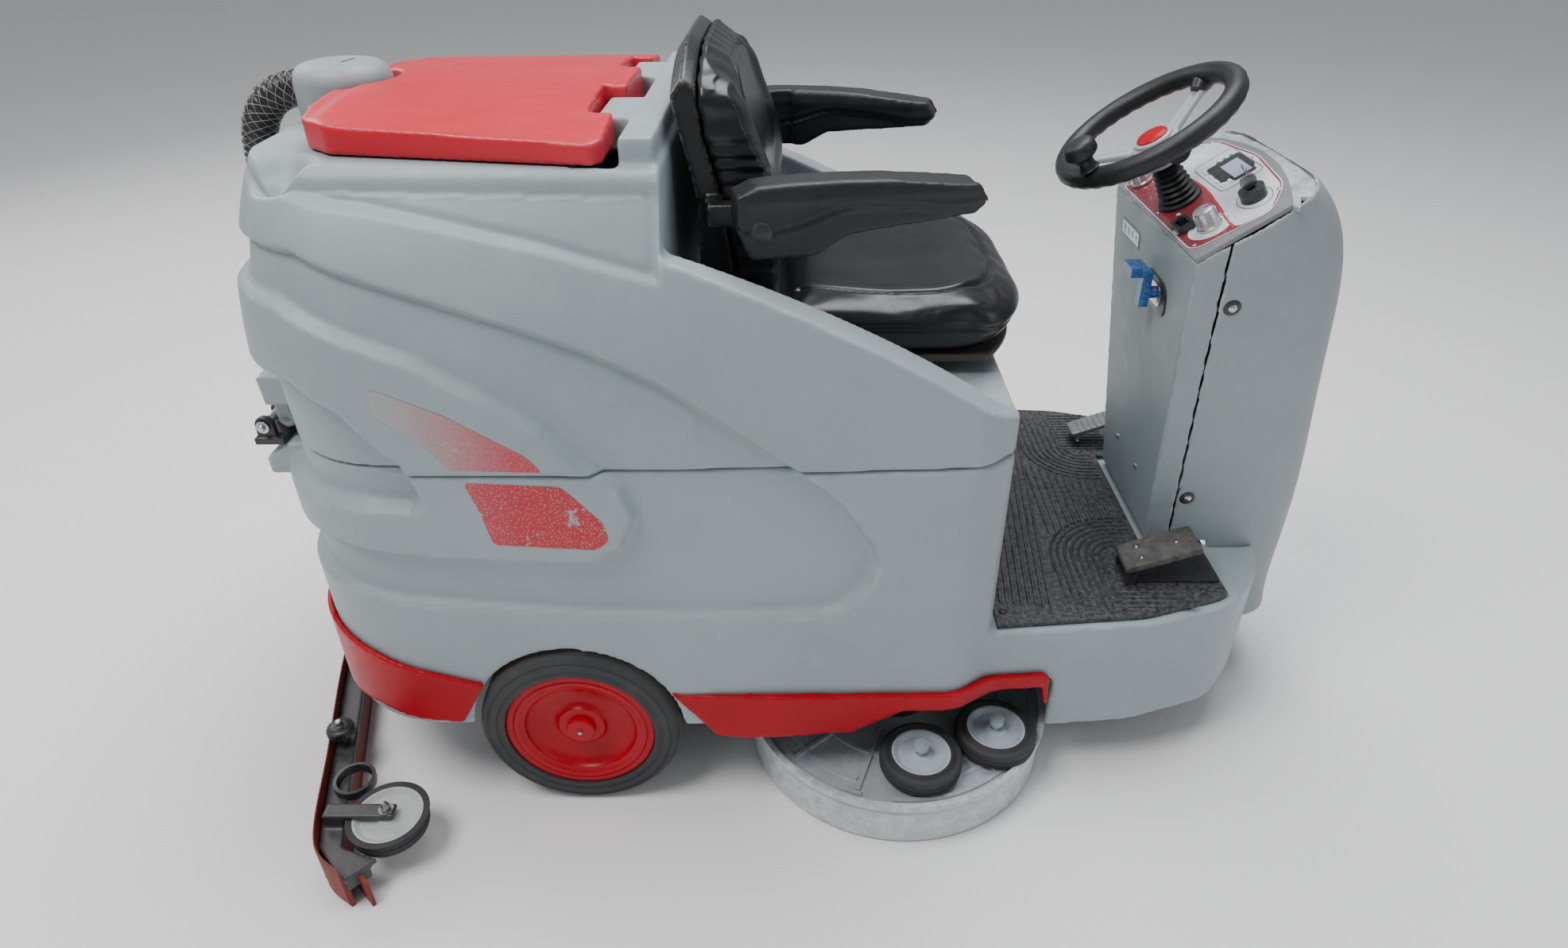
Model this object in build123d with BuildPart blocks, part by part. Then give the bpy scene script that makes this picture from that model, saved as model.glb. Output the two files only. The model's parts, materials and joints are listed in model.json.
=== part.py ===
from build123d import *
import os
from math import cos, pi, radians, sin, tan

os.makedirs("parts", exist_ok=True)

# Ride-on floor scrubber. x points forward, y to the driver's left, z up; the floor is z = 0.
# Every x station is counted forward from the rear axle and shifted by AXLE_X, so the origin
# lies on the floor under the middle of the machine.
AXLE_X = -334.0

# Wheels
WHEEL_R = 150.0
WHEEL_WIDTH = 80.0
WHEEL_FACE_Y = 407.0
RIM_R = 112.0
AXLE_R = 12.5
DRIVE_X = AXLE_X + 945.0
DRIVE_R = 125.0
DRIVE_WIDTH = 76.0
RUNNING_GAP = 0.05

# Lower body: a double-walled tank moulding with the driver's platform in front
WALL = 8.0
SILL_Z = 160.0
SPLIT_Z = 600.0
FLOOR_Z = 331.0
UNDERSIDE_Z = 325.0
PLATFORM_TOP_Z = 292.0
PLATFORM_BOTTOM_Z = 93.0
MAT_THICKNESS = 8.0
REAR_WALL_X = AXLE_X - 395.0
BAY_HALF_WIDTH = 290.0
BAY_REAR_X = AXLE_X - 300.0
BAY_FRONT_X = AXLE_X + 590.0
ARCH_R = 158.0

# Upper body: recovery tank with the seat well in front of it
TANK_FRONT_X = AXLE_X + 172.0
TANK_TOP_Z = 957.0
RIDGE_TOP_Z = 989.0
SEAT_DECK_Z = 650.0
SEAT_WELL_HALF = 325.0
TILT_X = AXLE_X - 420.0
TILT_Z = 590.0
TILT_Y = 215.0
TILT_PIN_R = 6.0

# Lid
LID_BOTTOM_Z = 959.0
LID_EDGE_Z = 984.0
LID_CROWN_Z = 1005.0
LID_HINGE_X = AXLE_X + 92.0
LID_HINGE_Z = 982.0
LID_PIN_R = 4.0
LID_FRONT_X = 106.0
RIDGE_REAR_X = AXLE_X + 124.0
RIDGE_FRONT_X = AXLE_X + 166.0

# Steering column: the dash and the steering shaft lean towards the driver by the same angle
LEAN = radians(33.0)
DASH_REAR_X = AXLE_X + 857.0
DASH_REAR_Z = 794.0
RING_CENTRE = (AXLE_X + 824.0, 0.0, 931.0)
RING_R = 121.0
RING_TUBE_R = 15.0
SHAFT_R = 11.0

# Brush deck
DECK_X = AXLE_X + 490.0
BRUSH_Y = 245.0
DECK_R = 240.0
BRUSH_R = 214.0
DECK_PLATE_Z = 62.0
DECK_PLATE_TOP_Z = 72.0
ROLLER_R = 63.0
ROLLER_PLACES = [(AXLE_X + 514.0, 404.0), (AXLE_X + 636.0, 354.0)]

# Squeegee
ARM_PIVOT = (AXLE_X - 230.0, 0.0, 190.0)
CARRIER_PIVOT = (AXLE_X - 405.0, 0.0, 122.0)
SWIVEL_X = AXLE_X - 425.0
BLADE_LINE = [(-500.0, 0.0), (-467.0, 172.0), (-412.0, 372.0), (-365.0, 539.0), (-309.0, 592.0)]
BLADE_HEIGHT = 52.0
BLADE_THICKNESS = 4.0
BUMPER_PLACE = (AXLE_X - 276.0, 493.0)
BUMPER_R = 56.0


def slab(face, bottom, top, mode=Mode.ADD):
    """Extrudes a flat outline between two heights, in the part that is being built."""
    with BuildSketch(Plane.XY.offset(bottom)) as base:
        add(face)
    extrude(base.sketch, amount=top - bottom, mode=mode)


def block(x_range, y_range, z_range, mode=Mode.ADD):
    """A box between the given limits."""
    size = [high - low for low, high in (x_range, y_range, z_range)]
    middle = [(high + low) / 2 for low, high in (x_range, y_range, z_range)]
    with Locations(tuple(middle)):
        Box(*size, mode=mode)


def twin_blocks(x_range, y_range, z_range, mode=Mode.ADD):
    """The same box on the right-hand and the left-hand side."""
    block(x_range, y_range, z_range, mode)
    block(x_range, (-y_range[1], -y_range[0]), z_range, mode)


def rod(centre, axis, radius, length, mode=Mode.ADD):
    """A round bar centred on a point, along an axis."""
    with Locations(Plane(origin=centre, z_dir=axis)):
        Cylinder(radius, length, mode=mode)


def outline(side, radii):
    """A symmetric plan outline: its right-hand corners from the rear forwards, mirrored."""
    points = [(x, -y) for x, y in side] + [(x, y) for x, y in reversed(side)]
    with BuildSketch(mode=Mode.PRIVATE) as flat:
        with BuildLine():
            Polyline(*points, close=True)
        make_face()
        for (x, y), radius in zip(side, radii):
            if radius:
                pair = [flat.vertices().sort_by_distance((x, s * y, 0))[0] for s in (1, -1)]
                fillet(pair, radius)
    return flat.sketch


def inset(face, amount):
    """The same outline drawn in by an amount."""
    with BuildSketch(mode=Mode.PRIVATE) as flat:
        add(face)
        offset(amount=-amount, kind=Kind.INTERSECTION)
    return flat.sketch


def save(part, name):
    """Labels a finished piece and writes its STEP file."""
    part.label = name
    export_step(part, "parts/" + name + ".step")


def lean_plane(height):
    """A plane square to the steering shaft, at a distance above the ring's plane."""
    origin = (
        RING_CENTRE[0] - height * sin(LEAN),
        0.0,
        RING_CENTRE[2] + height * cos(LEAN),
    )
    return Plane(origin=origin, x_dir=(cos(LEAN), 0, sin(LEAN)), z_dir=(-sin(LEAN), 0, cos(LEAN)))


def dash_plane(height):
    """A plane parallel to the dash, with its origin above the dash's rear edge."""
    origin = (
        DASH_REAR_X - height * sin(LEAN),
        0.0,
        DASH_REAR_Z + height * cos(LEAN),
    )
    return Plane(origin=origin, x_dir=(cos(LEAN), 0, sin(LEAN)), z_dir=(-sin(LEAN), 0, cos(LEAN)))


# --- Lower body ---------------------------------------------------------------------------------

LOWER_OUTLINE = outline(
    [
        (REAR_WALL_X, 394.0),
        (AXLE_X + 170.0, 400.0),
        (AXLE_X + 560.0, 386.0),
        (AXLE_X + 612.0, 348.0),
    ],
    [190.0, 200.0, 60.0, 25.0],
)
PLATFORM_OUTLINE = outline(
    [
        (AXLE_X + 500.0, 378.0),
        (AXLE_X + 625.0, 348.0),
        (AXLE_X + 850.0, 328.0),
        (AXLE_X + 990.0, 282.0),
        (AXLE_X + 1062.0, 195.0),
        (AXLE_X + 1095.0, 80.0),
    ],
    [0.0, 60.0, 150.0, 110.0, 120.0, 100.0],
)
NOSE_NOTCH_X = AXLE_X + 1000.0
ARM_SLOT_X = (AXLE_X - 500.0, AXLE_X - 340.0)
ARM_SLOT_Y = (-46.0, 46.0)
ARM_SLOT_TOP_Z = 232.0
COVER_SECTIONS = [
    # height, seam x, half width, where the side straight ends, nose
    (130.0, 945.0, 132.0, 1036.0, 1166.0),
    (320.0, 935.0, 134.0, 1026.0, 1160.0),
    (560.0, 917.0, 160.0, 980.0, 1136.0),
    (740.0, 904.0, 181.0, 935.0, 1114.0),
    (820.0, 899.0, 188.0, 920.0, 1086.0),
    (900.0, 893.0, 190.0, 905.0, 1006.0),
]


def cover_loft(inset_by, grow_back=0.0):
    """The front cover's outside, or with an inset its inside, as one solid."""
    with BuildPart(mode=Mode.PRIVATE) as body:
        for height, seam, half, straight, nose in COVER_SECTIONS:
            y = half - inset_by
            with BuildSketch(Plane.XY.offset(height)):
                with BuildLine():
                    start = (AXLE_X + straight, -y)
                    tip = (AXLE_X + nose - inset_by, 0)
                    end = (AXLE_X + straight, y)
                    back = AXLE_X + seam - grow_back
                    Line((back, y), (back, -y))
                    Line((back, -y), start)
                    Spline(start, tip, end, tangents=[(1, 0), (-1, 0)])
                    Line(end, (back, y))
                make_face()
        loft()
    return body.part


COVER_SOLID = cover_loft(0.0)
COVER_HOLLOW = cover_loft(5.0, 20.0)
COVER_CLEARANCE = cover_loft(-1.0, 20.0)

with BuildPart() as nose_notch:
    add(COVER_CLEARANCE)
    block((NOSE_NOTCH_X, AXLE_X + 1300), (-200, 200), (0, 400), mode=Mode.INTERSECT)

with BuildPart() as lower_moulding:
    slab(LOWER_OUTLINE, SILL_Z, SPLIT_Z - 0.5)
    slab(PLATFORM_OUTLINE, PLATFORM_BOTTOM_Z, PLATFORM_TOP_Z)
    block((AXLE_X + 400, AXLE_X + 716), (-450, 450), (0, 195), mode=Mode.SUBTRACT)
    slab(inset(LOWER_OUTLINE, WALL), SILL_Z, UNDERSIDE_Z, mode=Mode.SUBTRACT)
    slab(inset(PLATFORM_OUTLINE, WALL), 0.0, PLATFORM_TOP_Z - WALL, mode=Mode.SUBTRACT)
    # the frame passes from under the bay to under the platform
    block(
        (AXLE_X + 560, AXLE_X + 660),
        (-322, 322),
        (0, PLATFORM_TOP_Z - WALL),
        mode=Mode.SUBTRACT,
    )
    # the bay over the frame: batteries, and the suction motor under the seat
    block(
        (BAY_REAR_X, BAY_FRONT_X),
        (-BAY_HALF_WIDTH, BAY_HALF_WIDTH),
        (FLOOR_Z, SPLIT_Z),
        mode=Mode.SUBTRACT,
    )
    # wheel arches through the side walls
    for side in (-1, 1):
        rod((AXLE_X, side * 370, WHEEL_R), (0, 1, 0), ARCH_R, 120, mode=Mode.SUBTRACT)
    # slot in the rear wall that the squeegee's arm lifts into
    block(ARM_SLOT_X, ARM_SLOT_Y, (0, ARM_SLOT_TOP_Z), mode=Mode.SUBTRACT)
    # lugs that carry the tilt hinge's brackets
    for side in (-1, 1):
        block(
            (TILT_X - 8, REAR_WALL_X + 2),
            (side * TILT_Y - 38, side * TILT_Y + 38),
            (515, 562),
        )

with BuildPart() as water_space:
    slab(inset(LOWER_OUTLINE, WALL), FLOOR_Z + WALL, SPLIT_Z - 0.5 - WALL)
    block(
        (BAY_REAR_X - WALL, AXLE_X + 900),
        (-BAY_HALF_WIDTH - WALL, BAY_HALF_WIDTH + WALL),
        (0, 700),
        mode=Mode.SUBTRACT,
    )

with BuildPart() as lower_body:
    add(lower_moulding.part)
    add(water_space.part, mode=Mode.SUBTRACT)
    # outlet at the bottom of the water space, which feeds the tap
    rod((REAR_WALL_X + 50, 0, FLOOR_Z), (0, 0, 1), 10, 30, mode=Mode.SUBTRACT)
    # the nose notch that the front cover drops into
    add(nose_notch.part, mode=Mode.SUBTRACT)
save(lower_body.part, "solution_tank")

# --- Bumper and skirts --------------------------------------------------------------------------

BUMPER_THICKNESS = 9.0
BUMPER_BAND = [(-460.0, 165.0), (-460.0, 318.0), (-366.0, 314.0), (-285.0, 297.0), (-128.0, 246.0),
               (-170.0, 172.0), (-235.0, 176.0), (-300.0, 188.0)]

with BuildPart() as rear_bumper:
    with BuildSketch(Plane.XY.offset(150)):
        add(inset(LOWER_OUTLINE, -BUMPER_THICKNESS))
        add(inset(LOWER_OUTLINE, -0.5), mode=Mode.SUBTRACT)
    extrude(amount=200)
    with BuildSketch(Plane.XZ.offset(-500)):
        with BuildLine():
            Polyline(*[(AXLE_X + x, z) for x, z in BUMPER_BAND], close=True)
        make_face()
    extrude(amount=1000, mode=Mode.INTERSECT)
    block(ARM_SLOT_X, ARM_SLOT_Y, (0, ARM_SLOT_TOP_Z), mode=Mode.SUBTRACT)
save(rear_bumper.part, "rear_bumper")

SKIRT_OUTLINE = outline(
    [
        (AXLE_X + 100.0, 404.0),
        (AXLE_X + 300.0, 408.0),
        (AXLE_X + 560.0, 397.0),
        (AXLE_X + 625.0, 357.0),
        (AXLE_X + 714.0, 350.0),
    ],
    [0.0, 150.0, 60.0, 60.0, 0.0],
)
SKIRT_BAND = [(142.0, 227.0), (698.0, 213.0), (708.0, 205.0), (710.0, 152.0), (704.0, 152.0),
              (698.0, 187.0), (480.0, 187.0), (410.0, 148.0), (250.0, 139.0), (205.0, 145.0)]

with BuildPart() as side_skirts:
    with BuildSketch(Plane.XY.offset(120)):
        add(SKIRT_OUTLINE)
        add(inset(LOWER_OUTLINE, -0.6), mode=Mode.SUBTRACT)
        add(inset(PLATFORM_OUTLINE, -0.6), mode=Mode.SUBTRACT)
    extrude(amount=120)
    with BuildSketch(Plane.XZ.offset(-500)):
        with BuildLine():
            Polyline(*[(AXLE_X + x, z) for x, z in SKIRT_BAND], close=True)
        make_face()
    extrude(amount=1000, mode=Mode.INTERSECT)
save(side_skirts.part, "side_skirts")

# --- Frame and axle -----------------------------------------------------------------------------

RAIL_Y = (110.0, 150.0)
RAIL_Z = (215.0, 275.0)
GUIDE_X = (DECK_X - 60.0, DECK_X + 60.0)
GUIDE_R = 8.0

with BuildPart() as chassis_frame:
    twin_blocks((AXLE_X - 340, AXLE_X + 840), RAIL_Y, RAIL_Z)
    block((AXLE_X - 340, AXLE_X - 300), (-150, 150), (RAIL_Z[0] + 22, RAIL_Z[1]))
    block((AXLE_X - 262, AXLE_X - 198), (-112, 112), RAIL_Z)
    block((AXLE_X + 240, AXLE_X + 280), (-150, 150), RAIL_Z)
    for x in GUIDE_X:
        block((x - 20, x + 20), (-112, 112), (250, 275))
        rod((x, 0, 181), (0, 0, 1), GUIDE_R, 140)
    # plate over the drive wheel, with the steering bearing
    block((AXLE_X + 790, AXLE_X + 988), (-RAIL_Y[0] - 2, RAIL_Y[0] + 2), (262, 278))
    rod((DRIVE_X, 0, 270), (0, 0, 1), 20 + RUNNING_GAP, 40, mode=Mode.SUBTRACT)
    # feet under the lower body
    for x in (AXLE_X - 280, AXLE_X + 260):
        twin_blocks((x - 20, x + 20), RAIL_Y, (275, UNDERSIDE_Z))
    # axle brackets and the squeegee arm's ears
    twin_blocks((AXLE_X - 30, AXLE_X + 30), RAIL_Y, (125, 215))
    rod((AXLE_X, 0, WHEEL_R), (0, 1, 0), AXLE_R, 320, mode=Mode.SUBTRACT)
    twin_blocks((ARM_PIVOT[0] - 16, ARM_PIVOT[0] + 16), (24, 32), (174, 216))
    rod(ARM_PIVOT, (0, 1, 0), 6 + RUNNING_GAP, 80, mode=Mode.SUBTRACT)
save(chassis_frame.part, "chassis_frame")

with BuildPart() as rear_axle:
    rod((AXLE_X, 0, WHEEL_R), (0, 1, 0), AXLE_R, 2 * (WHEEL_FACE_Y - 8))
save(rear_axle.part, "rear_axle")

# --- Rear wheels --------------------------------------------------------------------------------


def wheel_plane(side):
    """The plane of a rear wheel's outer face, looking outwards."""
    return Plane(
        origin=(AXLE_X, side * WHEEL_FACE_Y, WHEEL_R), x_dir=(0, 0, 1), z_dir=(0, side, 0)
    )


for side, hand in ((-1, "right"), (1, "left")):
    axle_line = Axis((AXLE_X, side * WHEEL_FACE_Y, WHEEL_R), (0, 1, 0))
    section_plane = Plane(
        origin=(AXLE_X, side * WHEEL_FACE_Y, WHEEL_R), x_dir=(0, 0, 1), z_dir=(side, 0, 0)
    )
    # in the section plane x is the radius and y runs along the axle, 0 at the outer face
    inward = -1 if section_plane.y_dir.Y * side > 0 else 1
    with BuildPart() as tyre:
        with BuildSketch(section_plane):
            with Locations(((RIM_R + WHEEL_R) / 2, inward * WHEEL_WIDTH / 2)):
                RectangleRounded(WHEEL_R - RIM_R, WHEEL_WIDTH, 14)
        revolve(axis=axle_line)
    save(tyre.part, "rear_tyre_" + hand)

    profile = [
        (AXLE_R + RUNNING_GAP, 4),
        (34, 4),
        (34, 20),
        (84, 14),
        (94, 4),
        (RIM_R, 4),
        (RIM_R, 70),
        (RIM_R - 8, 70),
        (RIM_R - 8, 24),
        (34, 32),
        (34, 76),
        (AXLE_R + RUNNING_GAP, 76),
    ]
    with BuildPart() as wheel_disc:
        with BuildSketch(section_plane):
            with BuildLine():
                Polyline(*[(r, inward * depth) for r, depth in profile], close=True)
            make_face()
        revolve(axis=axle_line)
        with BuildSketch(wheel_plane(side).offset(-4)):
            Circle(23)
        extrude(amount=9)
    save(wheel_disc.part, "rear_disc_" + hand)

# --- Drive unit ---------------------------------------------------------------------------------

with BuildPart() as drive_unit:
    rod((DRIVE_X, 0, 267), (0, 0, 1), 20, 30)
    block((DRIVE_X - 40, DRIVE_X + 40), (-58, 58), (252, 261))
    twin_blocks((DRIVE_X - 26, DRIVE_X + 26), (44, 58), (100, 256))
    rod((DRIVE_X, 82, DRIVE_R), (0, 1, 0), 58, 50)
    rod((DRIVE_X, 0, DRIVE_R), (0, 1, 0), 12 + RUNNING_GAP, 180, mode=Mode.SUBTRACT)
save(drive_unit.part, "drive_unit")

with BuildPart() as drive_wheel:
    rod((DRIVE_X, 0, DRIVE_R), (0, 1, 0), DRIVE_R, DRIVE_WIDTH)
    fillet(drive_wheel.edges().filter_by(GeomType.CIRCLE), 10)
    rod((DRIVE_X, 0, DRIVE_R), (0, 1, 0), 12, 116)
save(drive_wheel.part, "drive_wheel")

# --- Batteries and suction motor ----------------------------------------------------------------

BATTERY = (188.0, 262.0, 240.0)

with BuildPart() as batteries:
    for column in (-1, 0, 1):
        for row in (-1, 1):
            with Locations((AXLE_X + 196 * column, row * 140, FLOOR_Z + BATTERY[2] / 2)):
                Box(*BATTERY)
            for post in (-60, 60):
                rod((AXLE_X + 196 * column + post, row * 140, 575), (0, 0, 1), 9, 12)
save(batteries.part, "batteries")

with BuildPart() as suction_motor:
    rod((AXLE_X + 480, 0, 565), (0, 0, 1), 66, 80)
    rod((AXLE_X + 480, 0, 500), (0, 0, 1), 48, 60)
    rod((AXLE_X + 480, 0, 621), (0, 0, 1), 30, 40)
save(suction_motor.part, "suction_motor")

# --- Upper body ---------------------------------------------------------------------------------

UPPER_SECTIONS = [
    # height, rear wall, rear half width, half width by the seat, front half width, rear radius
    (601.0, 395.0, 394.0, 402.0, 384.0, 190.0),
    (740.0, 392.0, 388.0, 396.0, 380.0, 188.0),
    (860.0, 380.0, 352.0, 364.0, 360.0, 170.0),
    (TANK_TOP_Z, 355.0, 268.0, 318.0, 322.0, 120.0),
]


def upper_section(rear, rear_half, mid_half, front_half, radius, wall=0.0):
    """One plan section of the upper body, drawn in by a wall thickness."""
    return outline(
        [
            (AXLE_X - rear + wall, rear_half - wall),
            (AXLE_X + 170, mid_half - wall),
            (AXLE_X + 566, front_half - wall),
            (AXLE_X + 612 - wall, front_half - 40 - wall),
        ],
        [radius - wall, 150.0, 50.0, 20.0],
    )


with BuildPart() as upper_outside:
    for height, rear, rear_half, mid_half, front_half, radius in UPPER_SECTIONS:
        with BuildSketch(Plane.XY.offset(height)):
            add(upper_section(rear, rear_half, mid_half, front_half, radius))
    loft()

with BuildPart() as tank_space:
    for height, rear, rear_half, mid_half, front_half, radius in UPPER_SECTIONS:
        lifted = min(height + WALL, TANK_TOP_Z - WALL)
        with BuildSketch(Plane.XY.offset(lifted)):
            add(upper_section(rear, rear_half, mid_half, front_half, radius, WALL))
    loft()
    block((TANK_FRONT_X - 14, AXLE_X + 700), (-500, 500), (500, 1100), mode=Mode.SUBTRACT)

SWOOP = [(172.0, 868.0), (302.0, 818.0), (390.0, 778.0), (468.0, 738.0), (582.0, 668.0)]

with BuildPart() as recovery_tank:
    add(upper_outside.part)
    # the side walls sweep down from the tank to the front of the seat
    with BuildSketch(Plane.XZ.offset(-500)):
        with BuildLine():
            Spline(*[(AXLE_X + x, z) for x, z in SWOOP])
            Polyline(
                (AXLE_X + 582, 668),
                (AXLE_X + 625, 648),
                (AXLE_X + 625, 1100),
                (TANK_FRONT_X, 1100),
                (TANK_FRONT_X, 868),
            )
        make_face()
    extrude(amount=1000, mode=Mode.SUBTRACT)
    # the seat well between them
    block(
        (TANK_FRONT_X, AXLE_X + 700),
        (-SEAT_WELL_HALF, SEAT_WELL_HALF),
        (SEAT_DECK_Z, 1100),
        mode=Mode.SUBTRACT,
    )
    add(tank_space.part, mode=Mode.SUBTRACT)
    # hollow under the seat deck, over the bay
    block((TANK_FRONT_X, AXLE_X + 590), (-300, 300), (590, 642), mode=Mode.SUBTRACT)
    # the ridge in front of the lid, and the hinge blocks on it
    block((RIDGE_REAR_X, RIDGE_FRONT_X), (-296, 296), (TANK_TOP_Z - 2, RIDGE_TOP_Z))
    twin_blocks((LID_HINGE_X - 9, RIDGE_REAR_X + 2), (76, 192), (TANK_TOP_Z - 2, LID_HINGE_Z + 9))
    # mouth under the lid, and the relief below the lid's front edge
    block((AXLE_X - 215, AXLE_X + 50), (-190, 190), (930, 1000), mode=Mode.SUBTRACT)
    for middle, half in ((0, 74), (-248, 55), (248, 55)):
        block(
            (AXLE_X + 66, RIDGE_REAR_X),
            (middle - half, middle + half),
            (TANK_TOP_Z - 5, TANK_TOP_Z + 5),
            mode=Mode.SUBTRACT,
        )
    rod((LID_HINGE_X, 0, LID_HINGE_Z), (0, 1, 0), LID_PIN_R, 396, mode=Mode.SUBTRACT)
    # duct from the tank to the hose cap, and from the seat deck to the suction motor
    rod((AXLE_X - 290, 0, TANK_TOP_Z), (0, 0, 1), 30, 60, mode=Mode.SUBTRACT)
    rod((AXLE_X + 480, 0, SEAT_DECK_Z - 4), (0, 0, 1), 12, 30, mode=Mode.SUBTRACT)
    # lugs of the tilt hinge
    for side in (-1, 1):
        y = side * TILT_Y
        block((TILT_X - 10, REAR_WALL_X + 3), (y - 38, y + 38), (622, 668))
        block((TILT_X - 12, TILT_X + 12), (y - 18, y + 18), (TILT_Z, 624))
        rod((TILT_X, y, TILT_Z), (0, 1, 0), 12, 36)
        rod((TILT_X, y, TILT_Z), (0, 1, 0), TILT_PIN_R, 80, mode=Mode.SUBTRACT)
save(recovery_tank.part, "recovery_tank")

with BuildPart() as tank_hinge_brackets:
    for side in (-1, 1):
        y = side * TILT_Y
        block((TILT_X - 18, REAR_WALL_X - 1), (y - 34, y + 34), (562.5, 572))
        for ear in (-1, 1):
            block((TILT_X - 13, TILT_X + 13), (y + ear * 25 - 5, y + ear * 25 + 5), (562.5, TILT_Z))
            rod((TILT_X, y + ear * 25, TILT_Z), (0, 1, 0), 13, 10)
        rod((TILT_X, y, TILT_Z), (0, 1, 0), TILT_PIN_R + RUNNING_GAP, 80, mode=Mode.SUBTRACT)
save(tank_hinge_brackets.part, "tank_hinge_brackets")

with BuildPart() as hinge_pins:
    for side in (-1, 1):
        rod((TILT_X, side * TILT_Y, TILT_Z), (0, 1, 0), TILT_PIN_R, 66)
        rod((LID_HINGE_X, side * 137, LID_HINGE_Z), (0, 1, 0), LID_PIN_R, 186)
save(hinge_pins.part, "hinge_pins")

# --- Lid, hose cap and suction hose -------------------------------------------------------------

LID_SIDE = [
    (-283.0, 150.0),
    (-272.0, 206.0),
    (-232.0, 240.0),
    (LID_FRONT_X - 12.0, 303.0),
    (LID_FRONT_X, 289.0),
]
LID_OUTLINE = outline([(AXLE_X + x, y) for x, y in LID_SIDE], [30.0, 20.0, 20.0, 6.0, 4.0])
CAP_X = AXLE_X - 298.0
CROWN_R = (303.0**2 + (LID_CROWN_Z - LID_EDGE_Z) ** 2) / (2 * (LID_CROWN_Z - LID_EDGE_Z))

with BuildPart() as lid_crown:
    rod((AXLE_X - 90, 0, LID_CROWN_Z - CROWN_R), (1, 0, 0), CROWN_R, 500)

with BuildPart() as lid_crown_inside:
    rod((AXLE_X - 90, 0, LID_CROWN_Z - CROWN_R), (1, 0, 0), CROWN_R - 6, 500)

with BuildPart() as lid_hollow:
    slab(inset(LID_OUTLINE, 6), LID_BOTTOM_Z, LID_CROWN_Z)
    add(lid_crown_inside.part, mode=Mode.INTERSECT)
    block((AXLE_X + 50, AXLE_X + 120), (-320, 320), (900, 1100), mode=Mode.SUBTRACT)
    rod((CAP_X, 0, LID_CROWN_Z), (0, 0, 1), 86, 120, mode=Mode.SUBTRACT)

with BuildPart() as tank_lid:
    slab(LID_OUTLINE, LID_BOTTOM_Z, LID_CROWN_Z + 5)
    add(lid_crown.part, mode=Mode.INTERSECT)
    add(lid_hollow.part, mode=Mode.SUBTRACT)
    rod((CAP_X, 0, LID_CROWN_Z), (0, 0, 1), 78, 120, mode=Mode.SUBTRACT)
    twin_blocks((AXLE_X + 76, AXLE_X + 130), (73, 195), (900, 1100), mode=Mode.SUBTRACT)
    rod((LID_HINGE_X, 0, LID_HINGE_Z), (0, 1, 0), LID_PIN_R + RUNNING_GAP, 460, mode=Mode.SUBTRACT)
save(tank_lid.part, "tank_lid")

HOSE_R = 24.0
HOSE_EXIT_Z = 995.0
SPIGOT_X = AXLE_X - 470.0
SPIGOT_TOP_Z = 126.0

with BuildPart() as hose_cap:
    rod((CAP_X, 0, 992), (0, 0, 1), 66, 70)
    fillet(hose_cap.edges().group_by(Axis.Z)[-1], 26)
    rod((AXLE_X - 331, 0, HOSE_EXIT_Z), (1, 0, 0), HOSE_R + 5, 48)
    rod((AXLE_X - 352, 0, HOSE_EXIT_Z), (1, 0, 0), HOSE_R, 40, mode=Mode.SUBTRACT)
    rod((CAP_X, 0, 980), (0, 0, 1), 26, 50, mode=Mode.SUBTRACT)
save(hose_cap.part, "hose_cap")

HOSE_ROUTE = [
    (AXLE_X - 332.0, HOSE_EXIT_Z),
    (AXLE_X - 388.0, HOSE_EXIT_Z),
    (AXLE_X - 432.0, 955.0),
    (AXLE_X - 444.0, 890.0),
    (AXLE_X - 436.0, 790.0),
    (AXLE_X - 433.0, 660.0),
    (AXLE_X - 437.0, 510.0),
    (AXLE_X - 441.0, 370.0),
    (AXLE_X - 456.0, 260.0),
    (AXLE_X - 470.0, 190.0),
    (SPIGOT_X, SPIGOT_TOP_Z),
]


def bend_radii(points):
    """The largest tangent arc for each corner of a route: 0.45 of the shorter run beside it."""
    radii = []
    for before, here, after in zip(points, points[1:], points[2:]):
        one = Vector(*here) - Vector(*before)
        two = Vector(*after) - Vector(*here)
        turn = radians(one.get_angle(two))
        radii.append(0.45 * min(one.length, two.length) / tan(turn / 2))
    return radii


HOSE_POINTS = [(x, 0.0, z) for x, z in HOSE_ROUTE]
HOSE_RADII = bend_radii(HOSE_POINTS)
print("suction hose bend radii, mm:", [round(r) for r in HOSE_RADII])

with BuildPart() as suction_hose:
    with BuildLine() as hose_line:
        FilletPolyline(*HOSE_POINTS, radius=HOSE_RADII)
    with BuildSketch(Plane(origin=HOSE_POINTS[0], z_dir=hose_line.line % 0)):
        Circle(HOSE_R - 0.05)
    sweep()
hose_length = sum(edge.length for edge in hose_line.line.edges())
print(
    "suction hose length, mm:",
    round(hose_length),
    "volume over section times length:",
    round(suction_hose.part.volume / (pi * (HOSE_R - 0.05) ** 2 * hose_length), 4),
)
save(suction_hose.part, "suction_hose")

# --- Seat ---------------------------------------------------------------------------------------

SEAT_PAN_Z = 672.0
RECLINE = (AXLE_X + 262.0, 0.0, 716.0)
ARM_PIVOT_Z = 883.0
ARM_PIVOT_X = AXLE_X + 287.0
ARM_Y = 281.0

with BuildPart() as seat_rails:
    twin_blocks((AXLE_X + 240, AXLE_X + 600), (110, 142), (SEAT_DECK_Z, 662))
    twin_blocks((AXLE_X + 240, AXLE_X + 600), (121, 131), (662, 668))
save(seat_rails.part, "seat_rails")

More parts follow.
